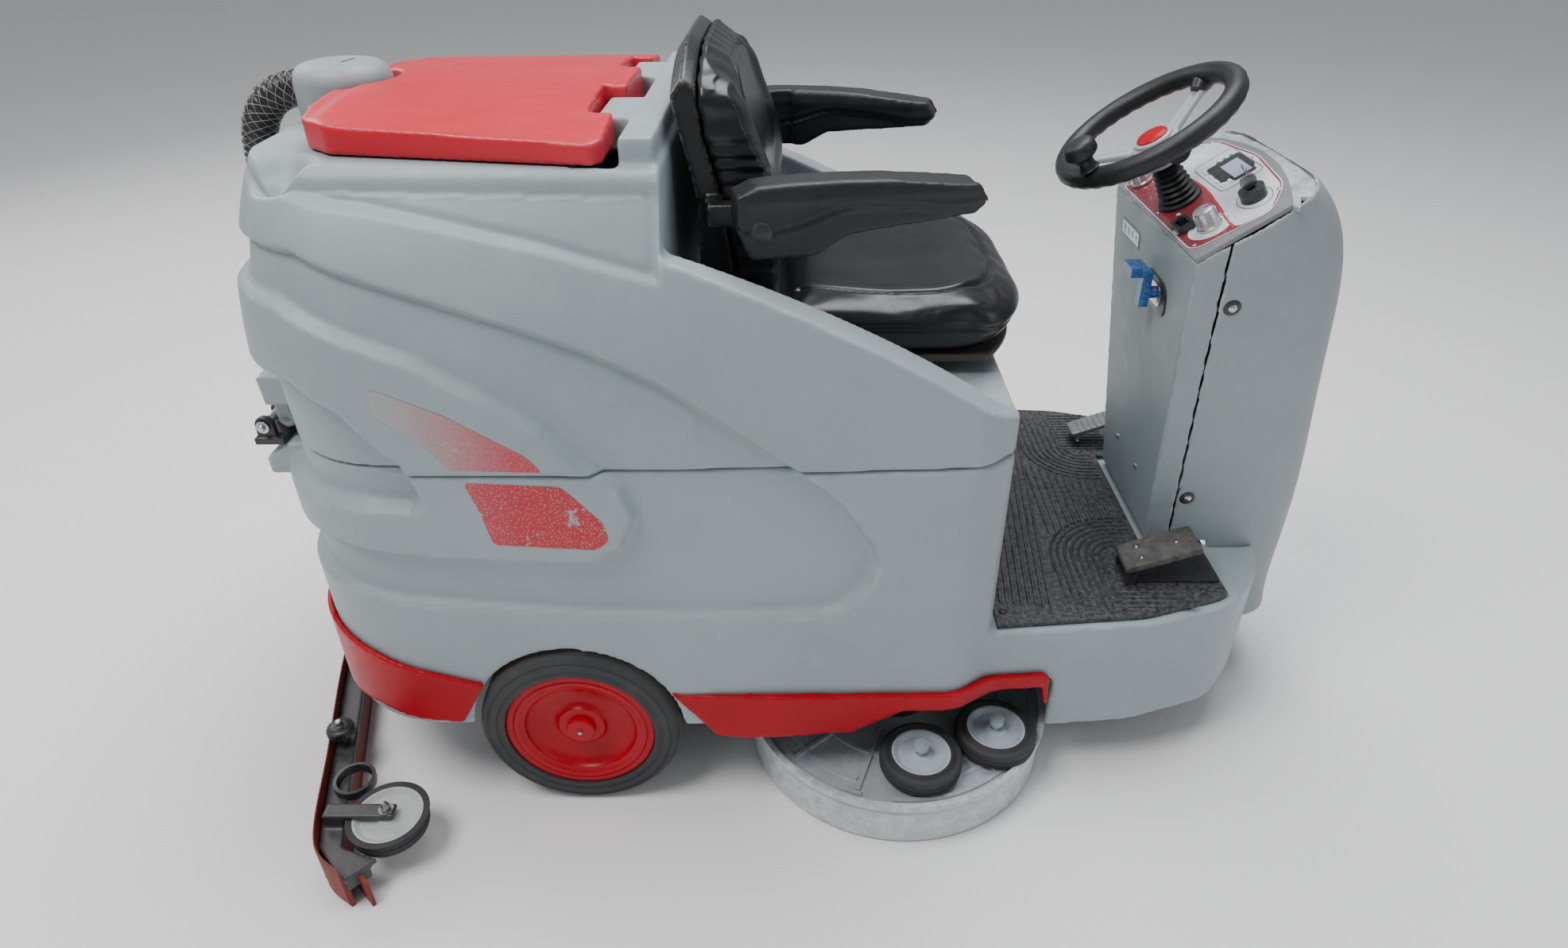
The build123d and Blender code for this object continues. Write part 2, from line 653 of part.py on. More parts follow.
with BuildPart() as seat_pan:
    block((AXLE_X + 240, AXLE_X + 636), (-222, 222), (SEAT_PAN_Z, 682))
    twin_blocks((AXLE_X + 260, AXLE_X + 440), (104, 120.7), (662.3, SEAT_PAN_Z))
    twin_blocks((AXLE_X + 260, AXLE_X + 440), (131.3, 148), (662.3, SEAT_PAN_Z))
    # recliner plates beside the cushion
    twin_blocks((AXLE_X + 240, AXLE_X + 300), (240, 246), (SEAT_PAN_Z, 735))
    twin_blocks((AXLE_X + 240, AXLE_X + 300), (215, 246), (SEAT_PAN_Z, 678))
    rod(RECLINE, (0, 1, 0), 8 + RUNNING_GAP, 520, mode=Mode.SUBTRACT)
save(seat_pan.part, "seat_pan")

with BuildPart() as seat_cushion:
    with BuildSketch(Plane.XZ.offset(-232)):
        with BuildLine():
            Polyline(
                (AXLE_X + 262, 684),
                (AXLE_X + 640, 684),
                (AXLE_X + 656, 712),
                (AXLE_X + 642, 752),
                (AXLE_X + 540, 764),
                (AXLE_X + 330, 738),
                (AXLE_X + 285, 740),
                (AXLE_X + 262, 700),
                close=True,
            )
        make_face()
    extrude(amount=464)
    fillet(seat_cushion.edges().filter_by(Axis.Z, reverse=True).group_by(Axis.X)[-1], 8)
    block((AXLE_X + 220, AXLE_X + 302), (-260, 260), (600, 800), mode=Mode.SUBTRACT)
save(seat_cushion.part, "seat_cushion")

BACK_SHELL = [(200, 760), (204, 880), (186, 990), (176, 1048), (192, 1070), (208, 1060),
              (214, 990), (236, 880), (250, 760), (256, 700), (240, 700)]
BACK_CUSHION = [(208, 1064), (228, 1066), (249, 1040), (266, 980), (294, 900), (298, 850),
                (292, 800), (294, 766), (258, 766), (252, 782), (238, 882), (216, 992)]

with BuildPart() as backrest_shell:
    with BuildSketch(Plane.XZ.offset(-206)):
        with BuildLine():
            Polyline(*[(AXLE_X + x, z) for x, z in BACK_SHELL], close=True)
        make_face()
    extrude(amount=412)
    # side arms: down to the recliner pin and out to the armrest pivots
    twin_blocks((AXLE_X + 244, AXLE_X + 280), (247, 253), (702, 775))
    twin_blocks((AXLE_X + 230, AXLE_X + 260), (200, 253), (752, 775))
    twin_blocks((AXLE_X + 218, AXLE_X + 300), (222, 246), (868, 898))
    twin_blocks((AXLE_X + 214, AXLE_X + 236), (200, 224), (868, 898))
    rod(RECLINE, (0, 1, 0), 18, 506)
    block((RECLINE[0] - 40, RECLINE[0] + 40), (-247, 247), (690, 743), mode=Mode.SUBTRACT)
    rod(RECLINE, (0, 1, 0), 8, 506)
    block((RECLINE[0] - 40, RECLINE[0] + 40), (-239, 239), (690, 743), mode=Mode.SUBTRACT)
    for side in (-1, 1):
        rod((ARM_PIVOT_X, side * 262, ARM_PIVOT_Z), (0, 1, 0), 7, 52)
save(backrest_shell.part, "backrest_shell")

with BuildPart() as backrest_cushion:
    with BuildSketch(Plane.XZ.offset(-218)):
        with BuildLine():
            Polyline(*[(AXLE_X + x, z) for x, z in BACK_CUSHION], close=True)
        make_face()
    extrude(amount=436)
    add(backrest_shell.part, mode=Mode.SUBTRACT)
save(backrest_cushion.part, "backrest_cushion")

ARM_TOE = 11.0
ARM_OUTLINE = [(-34, 0), (-34, 40), (-10, 52), (150, 52), (262, 38), (276, 18), (262, 2),
               (170, -6), (100, -12), (60, -34), (-20, -34)]

for side, hand in ((-1, "right"), (1, "left")):
    # the armrest's own plane, toed in towards its tip
    turn = radians(ARM_TOE)
    arm_plane = Plane(
        origin=(ARM_PIVOT_X, side * ARM_Y, ARM_PIVOT_Z),
        x_dir=(cos(turn), -side * sin(turn), 0),
        z_dir=(-side * sin(turn), -cos(turn), 0),
    )
    with BuildPart() as armrest:
        with BuildSketch(arm_plane.offset(-27)):
            with BuildLine():
                Polyline(*ARM_OUTLINE, close=True)
            make_face()
        extrude(amount=54)
        fillet(armrest.edges().group_by(Axis.Z)[-1], 8)
        block(
            (ARM_PIVOT_X - 40, ARM_PIVOT_X + 36),
            (side * 250 - 4.5, side * 250 + 4.5),
            (820, 960),
            mode=Mode.SUBTRACT,
        )
        rod(
            (ARM_PIVOT_X, side * 262, ARM_PIVOT_Z),
            (0, 1, 0),
            7 + RUNNING_GAP,
            52.4,
            mode=Mode.SUBTRACT,
        )
    save(armrest.part, "armrest_" + hand)

# --- Steering column ----------------------------------------------------------------------------

PANEL_SECTIONS = [
    # height, rear x, rear half width, seam x, seam half width
    (301.0, 899.0, 126.0, 935.0, 133.0),
    (560.0, 877.0, 156.0, 916.0, 160.0),
    (820.0, 855.0, 188.0, 898.0, 188.0),
    (900.0, 848.0, 188.0, 892.0, 190.0),
]


def panel_loft(wall, reach):
    """The rear panel of the column as a solid, drawn in by a wall and reaching past the seam."""
    with BuildPart(mode=Mode.PRIVATE) as body:
        for height, rear, rear_half, seam, half in PANEL_SECTIONS:
            points = [
                (AXLE_X + rear + wall, -rear_half + wall),
                (AXLE_X + seam - 0.5 + reach, -half + wall),
                (AXLE_X + seam - 0.5 + reach, half - wall),
                (AXLE_X + rear + wall, rear_half - wall),
            ]
            with BuildSketch(Plane.XY.offset(height)):
                with BuildLine():
                    Polyline(*points, close=True)
                make_face()
        loft(ruled=True)
    return body.part


with BuildPart() as above_dash:
    with BuildSketch(dash_plane(0)):
        with Locations((100, 0)):
            Rectangle(700, 700)
    extrude(amount=400)

TAP_Y = -50.0
TAP_Z = 702.0
REAR_FACE_LEAN = radians(4.85)
REAR_FACE_X = AXLE_X + 899.0 - (TAP_Z - 301.0) * tan(REAR_FACE_LEAN)
SCREW_PLACES = [(887.8, -50.0, 395.0), (887.8, 50.0, 395.0)]
BOLT_PLACES = [(922.0, 730.0), (946.0, 392.0)]

with BuildPart() as column_rear_panel:
    add(panel_loft(0.0, 0.0))
    add(panel_loft(5.0, 40.0), mode=Mode.SUBTRACT)
    add(above_dash.part, mode=Mode.SUBTRACT)
    rod((REAR_FACE_X + 2, TAP_Y, TAP_Z), (1, 0, 0), 9 + RUNNING_GAP, 40, mode=Mode.SUBTRACT)
save(column_rear_panel.part, "column_rear_panel")

with BuildPart() as column_front_cover:
    add(COVER_SOLID)
    add(COVER_HOLLOW, mode=Mode.SUBTRACT)
    block((AXLE_X + 800, NOSE_NOTCH_X), (-300, 300), (0, 301), mode=Mode.SUBTRACT)
    add(above_dash.part, mode=Mode.SUBTRACT)
save(column_front_cover.part, "column_front_cover")

with BuildPart() as column_bolts:
    for x, z in BOLT_PLACES:
        half = 134 + (z - 320) * (181 - 134) / (740 - 320)
        for side in (-1, 1):
            rod((AXLE_X + x, side * (half + 2.8), z), (0, 1, 0), 7, 4)
    for x, y, z in SCREW_PLACES:
        rod((AXLE_X + x, y, z), (1, 0, 0), 7, 5)
save(column_bolts.part, "column_bolts")

# the dash panel lies on the column's sloping top
DASH_T = 6.0
DASH_LENGTH = 172.0
DIAL_PLACES = {"water_dial": (46.0, -122.0), "speed_dial": (30.0, 128.0)}
KEY_PLACE = (112.0, -112.0)
TOGGLE_PLACE = (22.0, -86.0)
BUTTON_PLACE = (98.0, 146.0)
SCREEN_PLACE = (126.0, 8.0)
SHAFT_PLACE = (46.5, 0.0)

with BuildPart() as dash_panel:
    with BuildSketch(dash_plane(0.3)):
        with BuildLine():
            left_rear = (2, 184)
            left_front = (132, 182)
            Line((2, -184), left_rear)
            Line(left_rear, left_front)
            ThreePointArc(left_front, (DASH_LENGTH, 0), (132, -182))
            Line((132, -182), (2, -184))
        make_face()
    extrude(amount=DASH_T)
    with BuildSketch(dash_plane(-20)):
        with Locations(SHAFT_PLACE):
            Circle(SHAFT_R + 3)
        with Locations(*DIAL_PLACES.values(), TOGGLE_PLACE, BUTTON_PLACE):
            Circle(5 + RUNNING_GAP)
    extrude(amount=60, mode=Mode.SUBTRACT)
save(dash_panel.part, "dash_panel")

DASH_FACE = 0.3 + DASH_T

with BuildPart() as dash_fittings:
    # screen bezel, key switch barrel, toggle collar and the emergency button's base
    with BuildSketch(dash_plane(DASH_FACE)):
        with Locations(SCREEN_PLACE):
            RectangleRounded(50, 62, 5)
    extrude(amount=3)
    with BuildSketch(dash_plane(DASH_FACE)):
        with Locations(KEY_PLACE):
            Circle(17)
            Circle(6 + RUNNING_GAP, mode=Mode.SUBTRACT)
    extrude(amount=16)
    with BuildSketch(dash_plane(DASH_FACE)):
        with Locations(TOGGLE_PLACE):
            Rectangle(24, 34)
            Rectangle(14, 22, mode=Mode.SUBTRACT)
        with Locations(BUTTON_PLACE):
            Circle(19)
            Circle(12.5, mode=Mode.SUBTRACT)
    extrude(amount=10)
save(dash_fittings.part, "dash_fittings")

for name, (x, y) in DIAL_PLACES.items():
    with BuildPart() as dial:
        with BuildSketch(dash_plane(DASH_FACE + 0.5)):
            with Locations((x, y)):
                Circle(17)
        extrude(amount=17, taper=6)
        with BuildSketch(dash_plane(-14)):
            with Locations((x, y)):
                Circle(5)
        extrude(amount=24)
    save(dial.part, name)

with BuildPart() as key:
    with BuildSketch(dash_plane(DASH_FACE + 0.5)):
        with Locations(KEY_PLACE):
            Circle(6)
    extrude(amount=15.5)
    with BuildSketch(dash_plane(DASH_FACE + 16)):
        with Locations(KEY_PLACE):
            Rectangle(20, 3.5)
    extrude(amount=22)
save(key.part, "key")

with BuildPart() as toggle_lever:
    dash = dash_plane(DASH_FACE + 4)
    pivot = dash.from_local_coords(Vector(*TOGGLE_PLACE, 0))
    rod(pivot, (0, 1, 0), 3, 20)
    with BuildSketch(Plane(pivot, x_dir=dash.x_dir, z_dir=dash.z_dir)):
        Rectangle(5, 10)
    extrude(amount=22, taper=-2)
save(toggle_lever.part, "toggle_lever")

with BuildPart() as emergency_button:
    with BuildSketch(dash_plane(DASH_FACE + 7)):
        with Locations(BUTTON_PLACE):
            Circle(12)
    extrude(amount=15)
    with BuildSketch(dash_plane(DASH_FACE + 20)):
        with Locations(BUTTON_PLACE):
            Circle(20)
    extrude(amount=12)
    shaft_line = Axis(RING_CENTRE, (-sin(LEAN), 0, cos(LEAN)))
    fillet(emergency_button.faces().sort_by(shaft_line)[-1].edges(), 6)
save(emergency_button.part, "emergency_button")

with BuildPart() as tap_lever:
    rod((REAR_FACE_X, TAP_Y, TAP_Z), (1, 0, 0), 9, 34)
    block(
        (REAR_FACE_X - 26, REAR_FACE_X - 12),
        (TAP_Y - 9, TAP_Y + 9),
        (TAP_Z - 20, TAP_Z + 34),
    )
    block(
        (REAR_FACE_X - 40, REAR_FACE_X - 14),
        (TAP_Y + 5, TAP_Y + 48),
        (TAP_Z + 20, TAP_Z + 34),
    )
save(tap_lever.part, "tap_lever")

with BuildPart() as steering_boot:
    # bellows around the shaft: a stack of rounded rings, open down the middle
    with BuildSketch(Plane(origin=RING_CENTRE, x_dir=(cos(LEAN), 0, sin(LEAN)), z_dir=(0, -1, 0))):
        with BuildLine():
            low = -125.0
            high = -42.0
            rings = 7
            step = (high - low) / rings
            zigzag = [(SHAFT_R + 2.0, low), (31.0, low)]
            for ring in range(rings):
                size = 30.0 - 1.3 * ring
                zigzag.append((size, low + step * (ring + 0.5)))
                zigzag.append((size - 6.0, low + step * (ring + 0.95)))
            zigzag.append((SHAFT_R + 2.0, high))
            Polyline(*zigzag, close=True)
        make_face()
    revolve(axis=Axis(RING_CENTRE, (-sin(LEAN), 0, cos(LEAN))))
save(steering_boot.part, "steering_boot")

# --- Steering wheel -----------------------------------------------------------------------------

SPOKE_ANGLES = (150.0, 270.0, 30.0)
KNOB_ANGLE = 214.0
HUB_DROP = 20.0

with BuildPart() as steering_rim:
    with Locations(lean_plane(0)):
        Torus(RING_R, RING_TUBE_R)
save(steering_rim.part, "steering_rim")

with BuildPart() as steering_hub:
    with BuildSketch(lean_plane(-HUB_DROP - 18)):
        Circle(34)
    extrude(amount=18)
    with BuildSketch(lean_plane(-HUB_DROP)):
        Circle(27)
    extrude(amount=5)
    with BuildSketch(lean_plane(-230)):
        Circle(SHAFT_R)
    extrude(amount=230 - HUB_DROP - 10)
    for angle in SPOKE_ANGLES:
        base = lean_plane(-HUB_DROP - 12)
        with Locations(base * Rot(0, 0, angle) * Pos(30, 0, 0)):
            with Locations(Rot(0, -13, 0)):
                Box(86, 20, 9, align=(Align.MIN, Align.CENTER, Align.CENTER))
    with Locations(lean_plane(0)):
        Torus(RING_R, RING_TUBE_R, mode=Mode.SUBTRACT)
save(steering_hub.part, "steering_hub")

with BuildPart() as spinner_knob:
    at = (RING_R * cos(radians(KNOB_ANGLE)), RING_R * sin(radians(KNOB_ANGLE)))
    with BuildSketch(lean_plane(RING_TUBE_R + 0.5)):
        with Locations(at):
            Circle(13)
    extrude(amount=14)
    with BuildSketch(lean_plane(RING_TUBE_R + 14)):
        with Locations(at):
            Circle(22)
    extrude(amount=30)
    shaft_line = Axis(RING_CENTRE, (-sin(LEAN), 0, cos(LEAN)))
    fillet(spinner_knob.faces().sort_by(shaft_line)[-1].edges(), 8)
save(spinner_knob.part, "spinner_knob")

# --- Platform mat and pedals --------------------------------------------------------------------

MAT_TOP_Z = PLATFORM_TOP_Z + MAT_THICKNESS
TRAY = (AXLE_X + 824.0, AXLE_X + 1000.0)
TRAY_Y = (-256.0, -176.0)
PEDAL_HINGE = (AXLE_X + 842.0, -216.0, 316.0)
BRAKE_HINGE = (AXLE_X + 862.0, 196.0, 314.0)
PEDAL_TILT = 20.0

with BuildPart() as footboard_mat:
    slab(inset(PLATFORM_OUTLINE, 12), PLATFORM_TOP_Z, MAT_TOP_Z)
    block((AXLE_X + 400, AXLE_X + 622), (-400, 400), (250, 350), mode=Mode.SUBTRACT)
    block((NOSE_NOTCH_X - 15, AXLE_X + 1200), (-400, 400), (250, 350), mode=Mode.SUBTRACT)
    block((AXLE_X + 890, AXLE_X + 1200), (-140, 140), (250, 350), mode=Mode.SUBTRACT)
save(footboard_mat.part, "footboard_mat")

with BuildPart() as pedal_tray:
    block((TRAY[0] + 14, TRAY[1] - 20), (TRAY_Y[0] + 16, TRAY_Y[1]), (MAT_TOP_Z, MAT_TOP_Z + 4))
    for y in (PEDAL_HINGE[1] - 26, PEDAL_HINGE[1] + 26):
        block((PEDAL_HINGE[0] - 7, PEDAL_HINGE[0] + 7), (y - 3, y + 3), (MAT_TOP_Z, 320.5))
    rod(PEDAL_HINGE, (0, 1, 0), 3 + RUNNING_GAP, 80, mode=Mode.SUBTRACT)
save(pedal_tray.part, "pedal_tray")


def pedal(hinge, length, width, thickness):
    """A treadle hinged at its heel, with its toe raised."""
    plane = Plane(hinge, x_dir=(cos(radians(PEDAL_TILT)), 0, sin(radians(PEDAL_TILT))), z_dir=(0, -1, 0))
    with BuildPart(mode=Mode.PRIVATE) as treadle:
        with BuildSketch(plane.offset(-width / 2)):
            with Locations((length / 2 - 8, 8 + thickness / 2)):
                RectangleRounded(length, thickness, thickness / 2 - 0.5)
        extrude(amount=width)
        with BuildSketch(plane.offset(-22)):
            with Locations((4, 6)):
                Rectangle(14, 14)
        extrude(amount=44)
        rod(hinge, (0, 1, 0), 3, 57)
    return treadle.part


ACCELERATOR = pedal(PEDAL_HINGE, 118.0, 62.0, 12.0)
save(ACCELERATOR, "accelerator_pedal")

BRAKE = pedal(BRAKE_HINGE, 86.0, 46.0, 9.0)
save(BRAKE, "brake_pedal")

# --- Brush deck ---------------------------------------------------------------------------------

with BuildSketch() as deck_shape:
    with Locations((DECK_X, -BRUSH_Y), (DECK_X, BRUSH_Y)):
        Circle(DECK_R)
    with Locations((DECK_X, 0)):
        Rectangle(300, 240)

with BuildPart() as deck_plate:
    slab(deck_shape.sketch, DECK_PLATE_Z, DECK_PLATE_TOP_Z)
    for x in GUIDE_X:
        rod((x, 0, 130), (0, 0, 1), 16, 118)
        rod((x, 0, 130), (0, 0, 1), GUIDE_R + RUNNING_GAP, 200, mode=Mode.SUBTRACT)
    for side in (-1, 1):
        rod((DECK_X, side * BRUSH_Y, 67), (0, 0, 1), 30, 30, mode=Mode.SUBTRACT)
        for x, y in ROLLER_PLACES:
            rod((x, side * y, 98), (0, 0, 1), 6, 56)
            rod((x, side * y, 120), (0, 0, 1), 11, 10)
            rod((x, side * y, 74), (0, 0, 1), 14, 5)
save(deck_plate.part, "deck_plate")

with BuildPart() as deck_skirt:
    slab(deck_shape.sketch, 4.0, DECK_PLATE_Z)
    slab(inset(deck_shape.sketch, 7), 0.0, DECK_PLATE_Z, mode=Mode.SUBTRACT)
save(deck_skirt.part, "deck_skirt")

with BuildPart() as brush_motors:
    for side in (-1, 1):
        rod((DECK_X, side * BRUSH_Y, 87), (0, 0, 1), 56, 30)
        rod((DECK_X, side * BRUSH_Y, 182), (0, 0, 1), 50, 160)
        rod((DECK_X, side * BRUSH_Y, 80), (0, 0, 1), 12 + RUNNING_GAP, 60, mode=Mode.SUBTRACT)
save(brush_motors.part, "brush_motors")

for side, hand in ((-1, "right"), (1, "left")):
    with BuildPart() as brush:
        rod((DECK_X, side * BRUSH_Y, 42), (0, 0, 1), BRUSH_R - 6, 14)
        rod((DECK_X, side * BRUSH_Y, 18), (0, 0, 1), BRUSH_R, 34)
        rod((DECK_X, side * BRUSH_Y, 18), (0, 0, 1), 80, 34, mode=Mode.SUBTRACT)
        rod((DECK_X, side * BRUSH_Y, 72), (0, 0, 1), 12, 50)
    save(brush.part, "brush_" + hand)
    for (x, y), place in zip(ROLLER_PLACES, ("rear", "front")):
        with BuildPart() as roller:
            rod((x, side * y, 92), (0, 0, 1), ROLLER_R, 30)
            fillet(roller.edges().filter_by(GeomType.CIRCLE), 6)
            rod((x, side * y, 92), (0, 0, 1), 6 + RUNNING_GAP, 60, mode=Mode.SUBTRACT)
        save(roller.part, "deck_roller_" + place + "_" + hand)

# --- Squeegee -----------------------------------------------------------------------------------


def squeegee_strip(shift, width):
    """The squeegee's swept plan: a band of some width, shifted forward from the rear blade."""
    rear = [(AXLE_X + x + shift, y) for x, y in BLADE_LINE]
    front = [(x + width, y if y < 590 else y - width) for x, y in rear]
    one_side = rear + front[:0:-1]
    points = one_side + [front[0]] + [(x, -y) for x, y in front[1:]]
    points += [(x, -y) for x, y in reversed(rear[1:])]
    with BuildSketch(mode=Mode.PRIVATE) as flat:
        with BuildLine():
            Polyline(*points, close=True)
        make_face()
    return flat.sketch


with BuildPart() as squeegee_blades:
    slab(squeegee_strip(0.0, BLADE_THICKNESS), 0.0, BLADE_HEIGHT)
    slab(squeegee_strip(30.0, BLADE_THICKNESS), 1.0, BLADE_HEIGHT)
save(squeegee_blades.part, "squeegee_blades")

with BuildPart() as squeegee_body:
    slab(squeegee_strip(BLADE_THICKNESS, 30.0 - BLADE_THICKNESS), 34.0, 60.0)
    slab(squeegee_strip(1.0, 35.0), BLADE_HEIGHT, 62.0)
    add(squeegee_blades.part, mode=Mode.SUBTRACT)
    # centre casting with the swivel bearing and the hose spigot
    block((AXLE_X - 490, AXLE_X - 400), (-62, 62), (60, 74))
    rod((SWIVEL_X, 0, 79), (0, 0, 1), 15, 20)
    rod((SWIVEL_X, 0, 76), (0, 0, 1), 8 + RUNNING_GAP, 30, mode=Mode.SUBTRACT)
    rod((SPIGOT_X, 0, 99), (0, 0, 1), HOSE_R + 4, 54)
    rod((SPIGOT_X, 0, 95), (0, 0, 1), HOSE_R - 4, 80, mode=Mode.SUBTRACT)
    for side in (-1, 1):
        x, y = BUMPER_PLACE[0], side * BUMPER_PLACE[1]
        block((x - 52, x + 12), (y - 12, y + 12), (78, 86))
        block((x - 92, x - 61), (y - 12, y + 12), (60, 86))
        block((x - 92, x - 50), (y - 12, y + 12), (78, 86))
        rod((x, y, 62), (0, 0, 1), 5, 40)
        # adjusting knob on its stud
        rod((AXLE_X - 403, side * 340, 77), (0, 0, 1), 5, 46)
        rod((AXLE_X - 403, side * 340, 88), (0, 0, 1), 20, 16)
save(squeegee_body.part, "squeegee_body")

for side, hand in ((-1, "right"), (1, "left")):
    x, y = BUMPER_PLACE[0], side * BUMPER_PLACE[1]
    with BuildPart() as bumper_roller:
        rod((x, y, 61), (0, 0, 1), BUMPER_R, 30)
        fillet(bumper_roller.edges().filter_by(GeomType.CIRCLE), 6)
        rod((x, y, 61), (0, 0, 1), 5 + RUNNING_GAP, 60, mode=Mode.SUBTRACT)
    save(bumper_roller.part, "squeegee_roller_" + hand)

with BuildPart() as squeegee_arm:
    with BuildSketch(Plane.XZ.offset(-19)):
        with BuildLine():
            Polyline(
                (ARM_PIVOT[0] + 16, 176),
                (ARM_PIVOT[0] + 16, 204),
                (ARM_PIVOT[0] - 60, 204),
                (CARRIER_PIVOT[0] - 12, CARRIER_PIVOT[2] + 14),
                (CARRIER_PIVOT[0] - 12, CARRIER_PIVOT[2] - 12),
                (CARRIER_PIVOT[0] + 20, CARRIER_PIVOT[2] - 12),
                close=True,
            )
        make_face()
    extrude(amount=38)
    block(
        (CARRIER_PIVOT[0] - 20, CARRIER_PIVOT[0] + 22),
        (-10.5, 10.5),
        (80, CARRIER_PIVOT[2] + 30),
        mode=Mode.SUBTRACT,
    )
    rod(CARRIER_PIVOT, (0, 1, 0), 5 + RUNNING_GAP, 60, mode=Mode.SUBTRACT)
    rod(ARM_PIVOT, (0, 1, 0), 6, 66)
save(squeegee_arm.part, "squeegee_arm")

with BuildPart() as squeegee_carrier:
    block((SWIVEL_X - 14, CARRIER_PIVOT[0] + 12), (-10, 10), (92, CARRIER_PIVOT[2] + 10))
    rod((SWIVEL_X, 0, 84), (0, 0, 1), 8, 30)
    rod(CARRIER_PIVOT, (0, 1, 0), 5, 44)
save(squeegee_carrier.part, "squeegee_carrier")
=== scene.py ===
import json
import math

import bmesh
import bpy
import numpy as np
from mathutils import Matrix, Vector
from mathutils.bvhtree import BVHTree

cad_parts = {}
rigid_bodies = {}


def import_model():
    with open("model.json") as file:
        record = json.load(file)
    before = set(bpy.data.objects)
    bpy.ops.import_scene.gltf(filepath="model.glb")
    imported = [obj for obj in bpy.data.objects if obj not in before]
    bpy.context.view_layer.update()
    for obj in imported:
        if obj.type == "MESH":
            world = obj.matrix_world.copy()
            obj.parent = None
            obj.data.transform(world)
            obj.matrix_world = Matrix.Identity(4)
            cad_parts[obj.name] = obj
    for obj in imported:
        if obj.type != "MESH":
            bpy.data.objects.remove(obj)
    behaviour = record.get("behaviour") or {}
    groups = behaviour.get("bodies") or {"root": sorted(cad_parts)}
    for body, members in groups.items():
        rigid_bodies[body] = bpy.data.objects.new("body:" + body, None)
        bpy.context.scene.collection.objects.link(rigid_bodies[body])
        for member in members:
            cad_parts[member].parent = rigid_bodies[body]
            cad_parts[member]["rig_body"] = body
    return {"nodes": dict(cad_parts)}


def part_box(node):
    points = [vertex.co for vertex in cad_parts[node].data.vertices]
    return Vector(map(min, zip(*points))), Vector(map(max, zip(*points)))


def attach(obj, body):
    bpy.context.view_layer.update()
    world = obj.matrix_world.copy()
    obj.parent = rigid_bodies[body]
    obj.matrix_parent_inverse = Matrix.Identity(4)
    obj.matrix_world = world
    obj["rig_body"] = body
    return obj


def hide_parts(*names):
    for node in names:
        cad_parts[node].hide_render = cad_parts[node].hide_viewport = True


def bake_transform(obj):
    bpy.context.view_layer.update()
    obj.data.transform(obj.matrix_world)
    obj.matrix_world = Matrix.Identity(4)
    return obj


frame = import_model()
NODES = frame["nodes"]
SCENE = bpy.context.scene
for spare in list(bpy.data.objects):
    if spare.type != "EMPTY" and spare.name not in NODES:
        bpy.data.objects.remove(spare)
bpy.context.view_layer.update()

# Stations shared with the CAD, in metres: x is counted from the rear axle
AX = -0.334
LEAN = math.radians(33.0)
SIDES = ((-1, "right"), (1, "left"))


# --- Materials ----------------------------------------------------------------------------------


